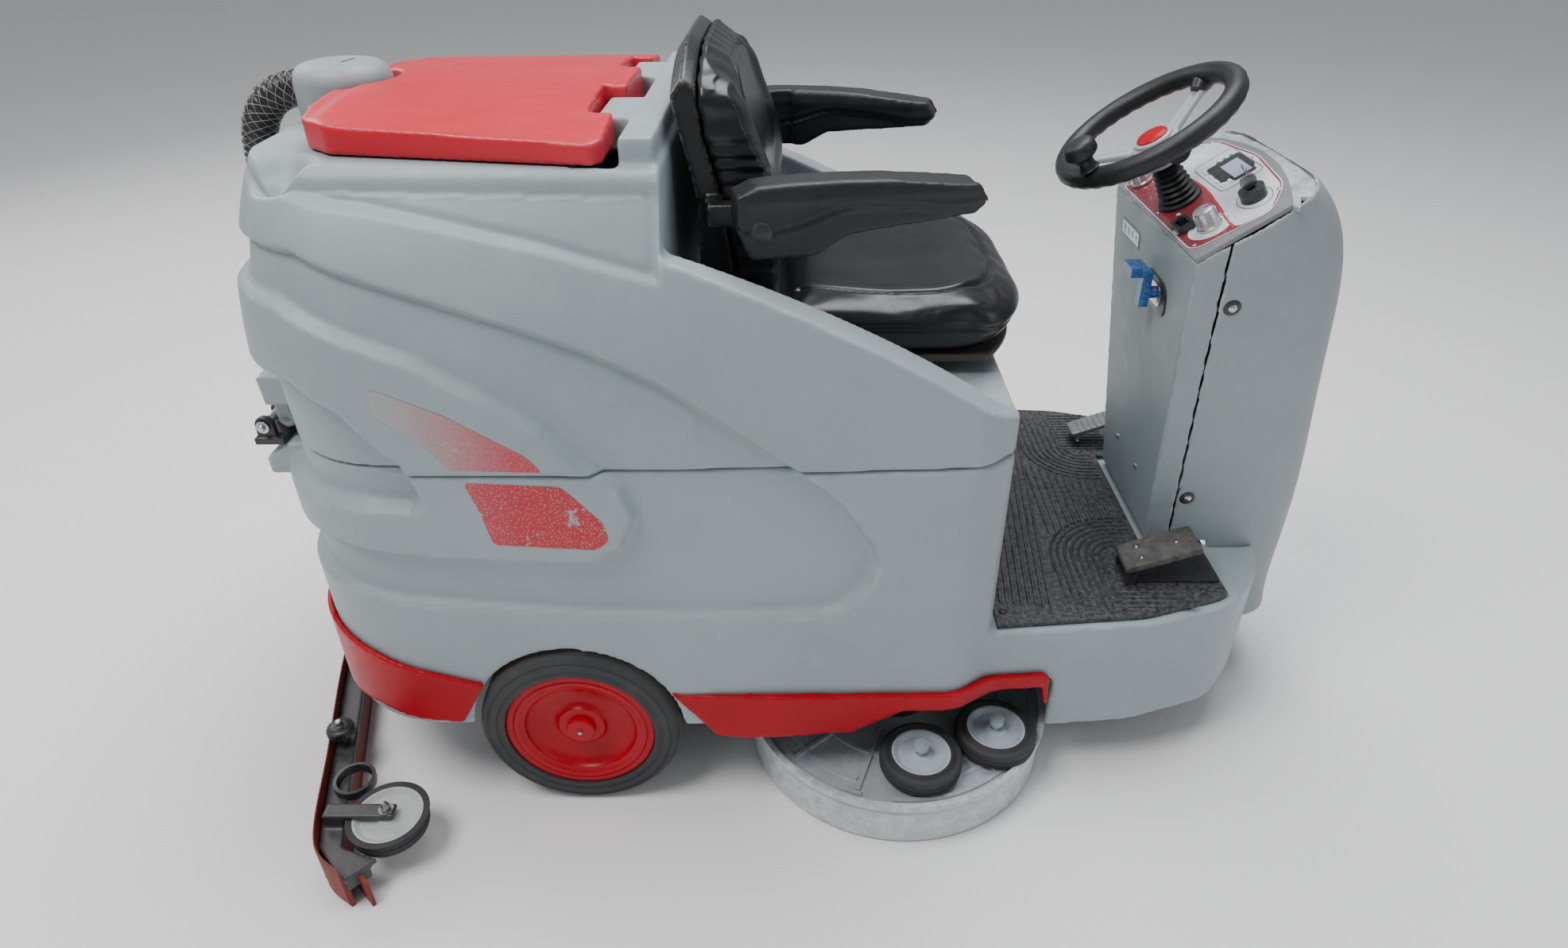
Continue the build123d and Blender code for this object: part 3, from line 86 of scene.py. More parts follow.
def material(name, colour, rough=0.5, other=None, patch=5.0, share=0.5, metal=0.0, grain=900.0,
             bump=0.15, depth=0.0004, scuff=None, scuff_cut=0.64, edge=None, coat=0.0, stretch=(1, 1, 1),
             spread=0.1, dust=None, gloss=0.5):
    """A procedural finish: two tones in patches, fine streaks, dust on upward faces, worn edges, grain."""
    m = bpy.data.materials.new(name)
    m.use_nodes = True
    nodes, links = m.node_tree.nodes, m.node_tree.links
    shader = nodes["Principled BSDF"]
    shader.inputs["Metallic"].default_value = metal
    shader.inputs["Coat Weight"].default_value = coat
    shader.inputs["Specular IOR Level"].default_value = gloss
    shader.inputs["Coat Roughness"].default_value = 0.15
    place = nodes.new("ShaderNodeTexCoord")
    move = nodes.new("ShaderNodeMapping")
    move.inputs["Scale"].default_value = stretch
    links.new(place.outputs["Object"], move.inputs["Vector"])

    def noise(scale, detail=6.0, coarse=0.6, vector=move.outputs["Vector"]):
        n = nodes.new("ShaderNodeTexNoise")
        n.inputs["Scale"].default_value = scale
        n.inputs["Detail"].default_value = detail
        n.inputs["Roughness"].default_value = coarse
        links.new(vector, n.inputs["Vector"])
        return n.outputs["Fac"]

    def ramp(value, low, high, to_low=0.0, to_high=1.0):
        r = nodes.new("ShaderNodeMapRange")
        for key, number in (("From Min", low), ("From Max", high), ("To Min", to_low), ("To Max", to_high)):
            r.inputs[key].default_value = number
        links.new(value, r.inputs["Value"])
        return r.outputs["Result"]

    def mix(factor, a, b):
        x = nodes.new("ShaderNodeMix")
        x.data_type = "RGBA"
        links.new(factor, x.inputs[0])
        for socket, value in ((x.inputs[6], a), (x.inputs[7], b)):
            if isinstance(value, tuple):
                socket.default_value = (*value, 1)
            else:
                links.new(value, socket)
        return x.outputs[2]

    other = other or tuple(min(1.0, c * 0.72 + 0.01) for c in colour)
    base = mix(ramp(noise(patch), 0.38, 0.7, 0.0, share), colour, other)
    fine = noise(patch * 9, 9.0, 0.7)
    lighter = tuple(min(1.0, c * 1.1 + 0.012) for c in colour)
    base = mix(ramp(fine, 0.5, 0.8, 0.0, 0.45), base, lighter)
    if scuff:
        lines = nodes.new("ShaderNodeMapping")
        lines.inputs["Scale"].default_value = (1.2, 30, 22)
        lines.inputs["Rotation"].default_value = (0.2, 0.12, 0.3)
        links.new(place.outputs["Object"], lines.inputs["Vector"])
        base = mix(ramp(noise(9.0, 9.0, 0.75, lines.outputs["Vector"]), scuff_cut, scuff_cut + 0.1, 0.0,
            0.5), base, scuff)
    if dust:
        geometry = nodes.new("ShaderNodeNewGeometry")
        split = nodes.new("ShaderNodeSeparateXYZ")
        links.new(geometry.outputs["Normal"], split.inputs["Vector"])
        up = ramp(split.outputs["Z"], 0.2, 1.0)
        both = nodes.new("ShaderNodeMath")
        both.operation = "MULTIPLY"
        links.new(up, both.inputs[0])
        links.new(ramp(fine, 0.4, 0.75, 0.0, 0.7), both.inputs[1])
        base = mix(both.outputs[0], base, dust)
    if edge:
        geometry = nodes.new("ShaderNodeNewGeometry")
        worn = nodes.new("ShaderNodeMath")
        worn.operation = "MULTIPLY"
        links.new(ramp(geometry.outputs["Pointiness"], 0.52, 0.58), worn.inputs[0])
        links.new(ramp(fine, 0.42, 0.62), worn.inputs[1])
        base = mix(worn.outputs[0], base, edge)
    links.new(base, shader.inputs["Base Color"])
    links.new(ramp(fine, 0.3, 0.75, rough - spread, rough + spread), shader.inputs["Roughness"])
    relief = nodes.new("ShaderNodeBump")
    relief.inputs["Strength"].default_value = bump
    relief.inputs["Distance"].default_value = depth
    links.new(noise(grain, 4.0, 0.6), relief.inputs["Height"])
    links.new(relief.outputs["Normal"], shader.inputs["Normal"])
    return m


GREY = (0.335, 0.395, 0.415)
MATERIALS = {
    "tank_grey": material("tank_grey", GREY, 0.5, (0.275, 0.335, 0.35), 2.6, 0.8, scuff=(0.22, 0.235,
                                                                                         0.23),
                          scuff_cut=0.62, edge=(0.50, 0.56, 0.58), bump=0.12),
    "cover_grey": material("cover_grey", (0.30, 0.35, 0.365), 0.52, (0.235, 0.28, 0.29), 4.0, 0.8,
                           scuff=(0.48, 0.52, 0.53), scuff_cut=0.64, edge=(0.50, 0.55, 0.57), bump=0.2),
    "red_plastic": material("red_plastic", (0.44, 0.001, 0.012), 0.36, (0.34, 0.001, 0.008), 6.0, 0.7,
                            scuff=(0.55, 0.03, 0.05), scuff_cut=0.70, edge=(0.52, 0.01, 0.02), gloss=0.2),
    "lid_red": material("lid_red", (0.62, 0.006, 0.026), 0.36, (0.68, 0.030, 0.055), 2.2, 0.9,
                        scuff=(0.78, 0.12, 0.15), scuff_cut=0.63, edge=(0.74, 0.08, 0.11), stretch=(1,
                                                                                                    2.2,
                                                                                                    1)),
    "wheel_red": material("wheel_red", (0.44, 0.001, 0.012), 0.34, (0.33, 0.001, 0.008), 14.0, 0.6,
                          scuff=(0.52, 0.02, 0.03), scuff_cut=0.72, bump=0.2, edge=(0.50, 0.01, 0.02),
                          gloss=0.25), "tyre": material("tyre", (0.028, 0.032, 0.037), 0.72,
                                                        (0.058, 0.056, 0.052), 11.0, 0.8, bump=0.5,
                                                        depth=0.0008, grain=500.0, scuff=(0.15, 0.15,
                                                                                          0.15)),
    "tread": material("tread", (0.085, 0.078, 0.068), 0.85, (0.16, 0.14, 0.11), 24.0, 0.9, bump=0.8,
                      depth=0.0012, grain=340.0), "frame_steel": material("frame_steel",
                                                                          (0.030, 0.031, 0.034), 0.45,
                                                                          (0.06, 0.052, 0.045), 12.0, 0.6,
                                                                          bump=0.3, dust=(0.10, 0.09,
                                                                                          0.08)),
    "bright_steel": material("bright_steel", (0.55, 0.56, 0.58), 0.3, (0.38, 0.37, 0.35), 40.0, 0.6,
                             metal=1.0, grain=1500.0), "hinge_black": material("hinge_black",
                                                                               (0.022, 0.022, 0.025), 0.4,
                                                                               (0.05, 0.05, 0.052), 30.0,
                                                                               0.5, bump=0.4),
    "battery_case": material("battery_case", (0.06, 0.07, 0.09), 0.5, (0.10, 0.11, 0.12), 9.0, 0.7,
                             dust=(0.16, 0.155, 0.15)), "mat_rubber": material("mat_rubber",
                                                                               (0.016, 0.018, 0.023),
                                                                               0.45,
                                                                               (0.036, 0.038, 0.042),
                                                                               16.0, 0.7, bump=0.5,
                                                                               depth=0.0006, grain=700.0,
                                                                               scuff=(0.12, 0.12, 0.12),
                                                                               scuff_cut=0.68, edge=(0.10,
                                                                                                     0.10,
    0.105)), "pedal_black": material("pedal_black", (0.045, 0.045, 0.047), 0.7, (0.14, 0.13, 0.12), 60.0,
                                     0.9, bump=1.0, depth=0.0016, grain=260.0, dust=(0.15, 0.14, 0.13)),
    "pedal_grey": material("pedal_grey", (0.22, 0.22, 0.23), 0.5, (0.32, 0.31, 0.29), 40.0, 0.8,
                           metal=0.6, bump=0.8, depth=0.001, grain=300.0),
    "dash_panel": material("dash_panel", (0.20, 0.205, 0.22), 0.35, (0.26, 0.265, 0.28), 20.0, 0.5,
                           coat=0.3), "dash_maroon": material("dash_maroon", (0.235, 0.028, 0.040), 0.3,
                                                              (0.30, 0.06, 0.07), 14.0, 0.7, coat=0.5,
                                                              scuff=(0.42, 0.20, 0.20), scuff_cut=0.66),
    "dash_silver": material("dash_silver", (0.74, 0.77, 0.82), 0.3, (0.50, 0.53, 0.57), 12.0, 0.6,
                            coat=0.3, scuff=(0.66, 0.68, 0.70)), "dash_white": material("dash_white",
    (0.74, 0.76, 0.78), 0.34, (0.66, 0.67, 0.68), 40.0, 0.5, coat=0.3), "screen": material("screen",
    (0.42, 0.47, 0.62), 0.12, (0.36, 0.41, 0.56), 18.0, 0.5, coat=1.0, bump=0.02),
    "ink_dark": material("ink_dark", (0.11, 0.11, 0.12), 0.4, (0.16, 0.16, 0.17), 50.0, 0.5),
    "ink_red": material("ink_red", (0.55, 0.02, 0.05), 0.35, (0.62, 0.06, 0.09), 50.0, 0.6),
    "ink_blue": material("ink_blue", (0.03, 0.30, 0.55), 0.35, (0.05, 0.38, 0.62), 50.0, 0.6),
    "ink_green": material("ink_green", (0.05, 0.45, 0.14), 0.35, (0.07, 0.52, 0.2), 50.0, 0.6),
    "black_plastic": material("black_plastic", (0.014, 0.014, 0.016), 0.36, (0.03, 0.03, 0.033), 30.0,
                              0.5, bump=0.3, edge=(0.06, 0.06, 0.065)),
    "soft_black": material("soft_black", (0.008, 0.009, 0.011), 0.46, (0.018, 0.020, 0.023), 13.0, 0.7,
                           bump=0.45, depth=0.0005, grain=1000.0, edge=(0.03, 0.032, 0.036)),
    "seat_vinyl": material("seat_vinyl", (0.004, 0.0045, 0.006), 0.34, (0.009, 0.010, 0.013), 9.0, 0.7,
                           bump=0.35, depth=0.0004, grain=620.0, coat=0.10, spread=0.06),
    "seat_shell": material("seat_shell", (0.008, 0.009, 0.010), 0.32, (0.018, 0.019, 0.020), 14.0, 0.6,
                           edge=(0.30, 0.31, 0.30), bump=0.3), "hose_black": material("hose_black",
    (0.012, 0.012, 0.014), 0.38, (0.035, 0.035, 0.038), 25.0, 0.6), "net_white": material("net_white",
    (0.38, 0.38, 0.36), 0.75, (0.22, 0.21, 0.20), 30.0, 0.8, grain=2400.0),
    "spoke_grey": material("spoke_grey", (0.33, 0.37, 0.39), 0.38, (0.40, 0.44, 0.46), 25.0, 0.6,
                           edge=(0.52, 0.56, 0.58)), "deck_cast": material("deck_cast",
                                                                           (0.52, 0.57, 0.61), 0.45,
                                                                           (0.33, 0.37, 0.40), 12.0, 0.9,
                                                                           metal=0.25, bump=0.6,
                                                                           depth=0.0008, grain=420.0,
                                                                           dust=(0.30, 0.32, 0.33)),
    "deck_skirt": material("deck_skirt", (0.50, 0.56, 0.58), 0.5, (0.38, 0.43, 0.45), 7.0, 0.8,
                           scuff=(0.24, 0.25, 0.25), scuff_cut=0.62, edge=(0.66, 0.70, 0.71)),
    "motor_black": material("motor_black", (0.03, 0.03, 0.033), 0.42, (0.07, 0.065, 0.06), 16.0, 0.6,
                            bump=0.4, dust=(0.12, 0.11, 0.10)), "bristle": material("bristle",
                                                                                    (0.06, 0.09, 0.20),
                                                                                    0.8,
                                                                                    (0.10, 0.13, 0.24),
                                                                                    200.0, 0.9, bump=1.0,
                                                                                    depth=0.003,
                                                                                    grain=260.0,
                                                                                    stretch=(1, 1, 0.05)),
    "roller_grey": material("roller_grey", (0.46, 0.54, 0.60), 0.42, (0.33, 0.39, 0.44), 15.0, 0.7,
                            scuff=(0.55, 0.58, 0.60), edge=(0.55, 0.61, 0.65)),
    "roller_white": material("roller_white", (0.50, 0.545, 0.53), 0.5, (0.40, 0.44, 0.43), 22.0, 0.8,
                             scuff=(0.30, 0.32, 0.31), scuff_cut=0.6),
    "squeegee_body": material("squeegee_body", (0.040, 0.040, 0.045), 0.42, (0.075, 0.072, 0.072), 15.0,
                              0.7, bump=0.3, dust=(0.11, 0.105, 0.10)),
    "blade_rubber": material("blade_rubber", (0.20, 0.022, 0.012), 0.6, (0.13, 0.022, 0.016), 10.0, 0.8,
                             scuff=(0.36, 0.12, 0.09), scuff_cut=0.62, bump=0.3),
    "dial_silver": material("dial_silver", (0.60, 0.61, 0.63), 0.3, (0.50, 0.51, 0.53), 40.0, 0.5,
                            metal=0.75), "key_steel": material("key_steel", (0.30, 0.30, 0.31), 0.3,
                                                               (0.20, 0.19, 0.18), 60.0, 0.7, metal=1.0),
    "button_red": material("button_red", (0.60, 0.01, 0.02), 0.25, (0.50, 0.01, 0.02), 30.0, 0.5,
                           coat=0.4), "tap_blue": material("tap_blue", (0.012, 0.085, 0.30), 0.3,
                                                           (0.02, 0.12, 0.36), 25.0, 0.6, coat=0.2,
                                                           edge=(0.06, 0.2, 0.45)),
}
for node in NODES.values():
    for place in node.material_slots:
        if place.material and place.material.name.split(".")[0] in MATERIALS:
            place.material = MATERIALS[place.material.name.split(".")[0]]

# --- Mesh helpers -------------------------------------------------------------------------------


def piece(name, mesh, look, body, replaces=(), smooth=True, sharp=40.0):
    """Puts a mesh into the scene as a named piece of a body, with its finish."""
    if isinstance(mesh, bmesh.types.BMesh):
        bmesh.ops.recalc_face_normals(mesh, faces=mesh.faces)
        data = bpy.data.meshes.new(name)
        mesh.to_mesh(data)
        mesh.free()
    else:
        data = mesh
        data.name = name
    data.materials.clear()
    data.materials.append(MATERIALS[look])
    data.shade_smooth() if smooth else data.shade_flat()
    if smooth and sharp:
        data.set_sharp_from_angle(angle=math.radians(sharp))
    made = bpy.data.objects.new(name, data)
    SCENE.collection.objects.link(made)
    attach(made, body)
    if replaces:
        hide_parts(*replaces)
    return made


def plane(origin, x_dir, z_dir):
    """The matrix of a plane from its origin, its x direction and its normal."""
    x, z = Vector(x_dir).normalized(), Vector(z_dir).normalized()
    y = z.cross(x)
    return Matrix((
        (x.x, y.x, z.x, origin[0]), (x.y, y.y, z.y, origin[1]), (x.z, y.z, z.z, origin[2]), (0, 0, 0, 1),
    ))


def tilted(x, z, height):
    """A plane that leans like the dash, a height above the point x, z."""
    s, c = math.sin(LEAN), math.cos(LEAN)
    return plane((AX + x - height * s, 0, z + height * c), (c, 0, s), (-s, 0, c))


def dash_at(height):
    return tilted(0.857, 0.794, height)


def wheel_at(height):
    return tilted(0.824, 0.931, height)


def along(centre, axis):
    """A plane across an axis at a centre, for turned pieces."""
    axis = Vector(axis).normalized()
    helper = Vector((0, 0, 1)) if abs(axis.z) < 0.9 else Vector((1, 0, 0))
    return plane(centre, helper.cross(axis), axis)


def soften(points, radius, closed=False, steps=4):
    """A flat outline with each corner turned into a small curve."""
    out = []
    count = len(points)
    for i, p in enumerate(points):
        if not closed and i in (0, count - 1):
            out.append(tuple(p))
            continue
        p = Vector(p)
        a, b = Vector(points[i - 1]), Vector(points[(i + 1) % count])
        cut = min(radius, (a - p).length * 0.45, (b - p).length * 0.45)
        if cut < 1e-6:
            out.append(tuple(p))
            continue
        start, end = p + (a - p).normalized() * cut, p + (b - p).normalized() * cut
        for k in range(steps + 1):
            t = k / steps
            out.append(tuple((1 - t) ** 2 * start + 2 * t * (1 - t) * p + t * t * end))
    return out


def turned(profile, matrix, segments=96, closed=False, into=None):
    """A turned shape from (radius, height) points round a plane's normal."""
    bm = into or bmesh.new()
    rings = []
    for r, h in profile:
        if r < 1e-6:
            rings.append([bm.verts.new(matrix @ Vector((0, 0, h)))])
        else:
            rings.append([
                bm.verts.new(matrix @ Vector((r * math.cos(a), r * math.sin(a), h)))
                for a in (2 * math.pi * k / segments for k in range(segments))
            ])
    pairs = list(zip(rings, rings[1:])) + ([(rings[-1], rings[0])] if closed else [])
    for low, high in pairs:
        for k in range(segments):
            n = (k + 1) % segments
            quad = [low[k % len(low)], low[n % len(low)], high[n % len(high)], high[k % len(high)]]
            quad = list(dict.fromkeys(quad))
            if len(quad) > 2:
                bm.faces.new(quad)
    return bm


def prism(outline, bottom, top, matrix, bevel=0.0, segments=3, into=None):
    """An outline extruded between two heights over a plane, with rounded edges."""
    bm = bmesh.new()
    low = [bm.verts.new(matrix @ Vector((x, y, bottom))) for x, y in outline]
    high = [bm.verts.new(matrix @ Vector((x, y, top))) for x, y in outline]
    count = len(outline)
    bm.faces.new(low)
    bm.faces.new(high)
    rim = []
    for k in range(count):
        n = (k + 1) % count
        bm.faces.new((low[k], low[n], high[n], high[k]))
        rim += [bm.edges.get((low[k], low[n])), bm.edges.get((high[k], high[n]))]
    bmesh.ops.recalc_face_normals(bm, faces=bm.faces)
    if bevel:
        bmesh.ops.bevel(bm, geom=rim, offset=bevel, segments=segments, profile=0.5, affect="EDGES",
                        clamp_overlap=True)
    if into is None:
        return bm
    data = bpy.data.meshes.new("part")
    bm.to_mesh(data)
    bm.free()
    into.from_mesh(data)
    return into


def cuboid(x, y, z, matrix=None, bevel=0.0, into=None):
    """A rounded block between limits."""
    corners = [(x[0], y[0]), (x[1], y[0]), (x[1], y[1]), (x[0], y[1])]
    return prism(soften(corners, bevel, True, 3) if bevel else corners, z[0], z[1], matrix or Matrix(),
                 bevel, into=into)


def curve_points(points, steps=8, closed=False):
    """A smooth line through points, for edges and seams."""
    pts = [Vector(p) for p in points]
    count = len(pts)
    out = []
    for i in range(count if closed else count - 1):
        p = [pts[j % count] if closed else pts[min(max(j, 0), count - 1)] for j in (i - 1, i, i + 1, i + 2)]
        for k in range(steps):
            t = k / steps
            out.append(0.5 * (
                2 * p[1] + (p[2] - p[0]) * t + (2 * p[0] - 5 * p[1] + 4 * p[2] - p[3]) * t * t
                + (3 * p[1] - p[0] - 3 * p[2] + p[3]) * t ** 3
            ))
    if not closed:
        out.append(pts[-1])
    return out


def swept(points, section, up=(0, 0, 1), closed=False, into=None, scales=None):
    """A section, given as (side, up) points, carried along a line and closed at its ends."""
    bm = into or bmesh.new()
    pts = [Vector(p) for p in points]
    up = Vector(up)
    count = len(pts)
    rings = []
    for i, p in enumerate(pts):
        a = pts[(i - 1) % count] if closed else pts[max(i - 1, 0)]
        b = pts[(i + 1) % count] if closed else pts[min(i + 1, count - 1)]
        forward = (b - a).normalized()
        side = forward.cross(up)
        side = side.normalized() if side.length > 1e-6 else Vector((0, 1, 0))
        top = side.cross(forward)
        size = scales[i] if scales else 1.0
        rings.append([bm.verts.new(p + side * u * size + top * v * size) for u, v in section])
    n = len(section)
    pairs = list(zip(rings, rings[1:])) + ([(rings[-1], rings[0])] if closed else [])
    for low, high in pairs:
        for k in range(n):
            bm.faces.new((low[k], low[(k + 1) % n], high[(k + 1) % n], high[k]))
    if not closed:
        bm.faces.new(rings[0])
        bm.faces.new(rings[-1])
    return bm


def ring_section(radius, sides=10, flat=1.0):
    return [
        (radius * math.cos(2 * math.pi * k / sides), flat * radius * math.sin(2 * math.pi * k / sides))
        for k in range(sides)
    ]


def settled(obj):
    """The object's mesh with its modifiers applied."""
    graph = bpy.context.evaluated_depsgraph_get()
    return bpy.data.meshes.new_from_object(obj.evaluated_get(graph))


def remeshed(mesh, voxel, rounds):
    """One continuous moulded skin from closed meshes, voxel remeshed and smoothed."""
    if isinstance(mesh, bmesh.types.BMesh):
        bmesh.ops.recalc_face_normals(mesh, faces=mesh.faces)
        data = bpy.data.meshes.new("raw")
        mesh.to_mesh(data)
        mesh.free()
        mesh = data
    raw = bpy.data.objects.new("raw", mesh)
    SCENE.collection.objects.link(raw)
    skin = raw.modifiers.new("skin", "REMESH")
    skin.mode, skin.voxel_size, skin.adaptivity, skin.use_smooth_shade = "VOXEL", voxel, 0.0, True
    ease = raw.modifiers.new("ease", "SMOOTH")
    ease.factor, ease.iterations = 0.5, rounds
    made = settled(raw)
    bpy.data.objects.remove(raw)
    return made


def get_points(mesh):
    co = np.empty(len(mesh.vertices) * 3)
    mesh.vertices.foreach_get("co", co)
    return co.reshape(-1, 3)


def set_points(mesh, co):
    mesh.vertices.foreach_set("co", np.ascontiguousarray(co).ravel())
    mesh.update()


def get_normals(mesh):
    no = np.empty(len(mesh.vertices) * 3)
    mesh.vertices.foreach_get("normal", no)
    return no.reshape(-1, 3)


def step(value, low, high):
    t = np.clip((value - low) / (high - low), 0, 1)
    return t * t * (3 - 2 * t)


def signed_distance(points, outline):
    """Distance of flat points from a closed outline, negative inside it."""
    loop = np.array([tuple(p) for p in outline])[:, :2]
    a, b = loop, np.roll(loop, -1, axis=0)
    best = np.full(len(points), 1e9)
    inside = np.zeros(len(points), bool)
    for (ax, ay), (bx, by) in zip(a, b):
        dx, dy = bx - ax, by - ay
        px, py = points[:, 0] - ax, points[:, 1] - ay
        t = np.clip((px * dx + py * dy) / (dx * dx + dy * dy + 1e-12), 0, 1)
        best = np.minimum(best, np.hypot(px - t * dx, py - t * dy))
        crosses = ((ay > points[:, 1]) != (by > points[:, 1]))
        with np.errstate(divide="ignore", invalid="ignore"):
            at = ax + (points[:, 1] - ay) * dx / np.where(dy == 0, 1e-12, dy)
        inside ^= crosses & (points[:, 0] < at)
    return np.where(inside, -best, best)


def line_distance(points, line):
    """Distance of flat points from an open line."""
    best = np.full(len(points), 1e9)
    for a, b in zip(line, line[1:]):
        ax, ay, dx, dy = a[0], a[1], b[0] - a[0], b[1] - a[1]
        px, py = points[:, 0] - ax, points[:, 1] - ay
        t = np.clip((px * dx + py * dy) / (dx * dx + dy * dy + 1e-12), 0, 1)
        best = np.minimum(best, np.hypot(px - t * dx, py - t * dy))
    return best


def wavy(co, scale, seed=0.0):
    """Smooth unevenness between -1 and 1 from summed waves."""
    x, y, z = co[:, 0] * scale, co[:, 1] * scale, co[:, 2] * scale
    return (np.sin(x * 1.7 + y * 0.9 + seed) + np.sin(y * 2.3 - z * 1.1 + seed * 2)
            + np.sin(z * 1.9 + x * 1.3 + seed * 3)) / 3


# --- The moulded bodies -------------------------------------------------------------------------

# Round the rear corner the side outline goes on: s runs along the wall, like x on the flat side
CORNER_X, CORNER_R, CORNER_Y = -0.539, 0.19, 0.204
RELIEF_UPPER = [(-0.646, 0.924), (-0.511, 0.912), (-0.425, 0.898), (-0.303, 0.875), (-0.163, 0.839),
                (-0.158, 0.99), (-0.9, 0.99), (-0.9, 0.94)]
CHANNEL = [(-0.9, 0.882), (-0.617, 0.878), (-0.519, 0.851), (-0.429, 0.826), (-0.339, 0.80),
           (-0.25, 0.769), (-0.169, 0.731), (-0.105, 0.686), (-0.01, 0.61), (0.055, 0.551), (0.10, 0.48),
           (0.107, 0.45), (0.095, 0.41), (0.06, 0.372), (0.025, 0.362), (-0.1, 0.36), (-0.3, 0.368),
           (-0.522, 0.388), (-0.691, 0.407), (-0.9, 0.41)]
LEAF = [(-0.9, 0.82), (-0.639, 0.813), (-0.56, 0.784), (-0.47, 0.751), (-0.384, 0.701), (-0.325, 0.663),
        (-0.282, 0.613), (-0.238, 0.576), (-0.224, 0.536), (-0.245, 0.49), (-0.285, 0.465),
        (-0.46, 0.471), (-0.623, 0.491), (-0.9, 0.495)]
POCKET = [(-0.9, 0.735), (-0.627, 0.729), (-0.562, 0.692), (-0.525, 0.642), (-0.501, 0.616),
          (-0.489, 0.58), (-0.485, 0.555), (-0.504, 0.535), (-0.567, 0.541), (-0.657, 0.54), (-0.9, 0.54)]


def relief_of(co):
    """How deep the moulded panels are at each point of the body's sides, in metres."""
    ay = np.abs(co[:, 1])
    dx, dy = CORNER_X - co[:, 0], ay - CORNER_Y
    angle = np.arctan2(np.maximum(dx, 0), np.maximum(dy, 1e-6))
    s = np.where(dx < 0, co[:, 0], CORNER_X - CORNER_R * angle)
    s = np.where((dx > 0) & (dy < 0), CORNER_X - 0.298 - (CORNER_Y - ay), s)
    flat = np.column_stack([s, co[:, 2]])
    channel = signed_distance(flat, CHANNEL)
    leaf = signed_distance(flat, LEAF)
    pocket = signed_distance(flat, POCKET)
    upper = signed_distance(flat, RELIEF_UPPER)
    panel = np.maximum(channel, -leaf)
    depth = 0.0165 * step(-panel, -0.001, 0.0125)
    depth += 0.025 * step(-pocket, 0.0, 0.018)
    depth += 0.011 * step(-upper, 0.0, 0.010) * (1 - step(co[:, 2], 0.925, 0.950))
    band = np.maximum(-upper, -channel)
    depth -= 0.004 * step(band, 0.004, 0.02) * step(co[:, 2], 0.60, 0.72) * (co[:, 2] < 0.93) * (s < -0.13)
    reach = 1 - step(s, 0.11, 0.14)
    return depth * reach


def press_relief(mesh, skin_tree):
    """Moves a moulded skin inwards by the relief; the inner wall close behind it goes along."""
    co = get_points(mesh)
    inward = np.column_stack([
        np.maximum(CORNER_X - co[:, 0], 0),
        -np.sign(co[:, 1]) * np.maximum(np.abs(co[:, 1]) - CORNER_Y, 0.0),
        np.zeros(len(co)),
    ])
    size = np.linalg.norm(inward, axis=1)
    inward = inward / np.maximum(size, 1e-6)[:, None]
    depth = relief_of(co)
    behind = np.full(len(co), 1.0)
    for i in np.nonzero((np.abs(depth) > 1e-5) & (size > 0.01))[0]:
        direction = Vector(inward[i])
        hit = skin_tree.ray_cast(Vector(co[i]) - direction * 0.3, direction, 0.31)
        behind[i] = 0.3 - hit[3] if hit[0] is not None else 0.0
    weight = 1 - step(behind, 0.018, 0.060)
    set_points(mesh, co + inward * (depth * weight)[:, None])


def thickened(mesh, least):
    """Moves the inner wall inwards where it lies closer than a least thickness behind the outer one."""
    data = bmesh.new()
    data.from_mesh(mesh)
    bmesh.ops.recalc_face_normals(data, faces=data.faces)
    tree = BVHTree.FromBMesh(data)
    data.free()
    co = get_points(mesh)
    for i, p in enumerate(co):
        inward = Vector((max(CORNER_X - p[0], 0), -math.copysign(max(abs(p[1]) - CORNER_Y, 0), p[1]), 0))
        if inward.length < 0.02:
            continue
        inward.normalize()
        hit = tree.ray_cast(Vector(p) - inward * 0.3, inward, 0.31)
        behind = 0.3 - hit[3] if hit[0] is not None else 0.0
        if 0.0008 < behind < least:
            co[i] = p + np.array(inward) * (least - behind)
    set_points(mesh, co)


def moulded(node, voxel, rounds, body, look, relief=False, after=None):
    """A node's shape as one continuous moulded skin with softened edges."""
    mesh = NODES[node].data.copy()
    if relief:
        thickened(mesh, 0.0125)
    skin = remeshed(mesh, voxel, rounds)
    if relief:
        tree = BVHTree.FromPolygons([v.co for v in skin.vertices],
            [tuple(p.vertices) for p in skin.polygons])
        press_relief(skin, tree)
    if after:
        co = get_points(skin)
        set_points(skin, after(co, get_normals(skin)))
    return piece(node + "_skin", skin, look, body, (node,), sharp=0)


def hand_hold(co, no):
    """The scooped hand hold in the tank's top at the lid's near rear corner."""
    for side in (-1, 1):
        away = np.hypot((co[:, 0] + 0.620) / 1.25, co[:, 1] - side * 0.262)
        co[:, 2] -= 0.026 * (1 - step(away, 0.010, 0.040)) * step(co[:, 2], 0.915, 0.94)
    return co


upper_skin = moulded("recovery_tank", 0.0046, 3, "recovery_tank", "tank_grey", relief=True, after=hand_hold)
lower_skin = moulded("solution_tank", 0.0048, 3, "chassis", "tank_grey", relief=True)


def lid_form(co, no):
    """The lid's low crown with its softened border step."""
    lo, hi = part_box("tank_lid")
    x, y = co[:, 0], co[:, 1]
    inner = np.minimum.reduce([x - lo.x, hi.x - x, y - lo.y, hi.y - y])
    top = step(co[:, 2], 0.985, 1.0)
    co[:, 2] += top * (0.0035 * step(inner, 0.018, 0.04) + 0.0012 * wavy(co, 9.0))
    return co


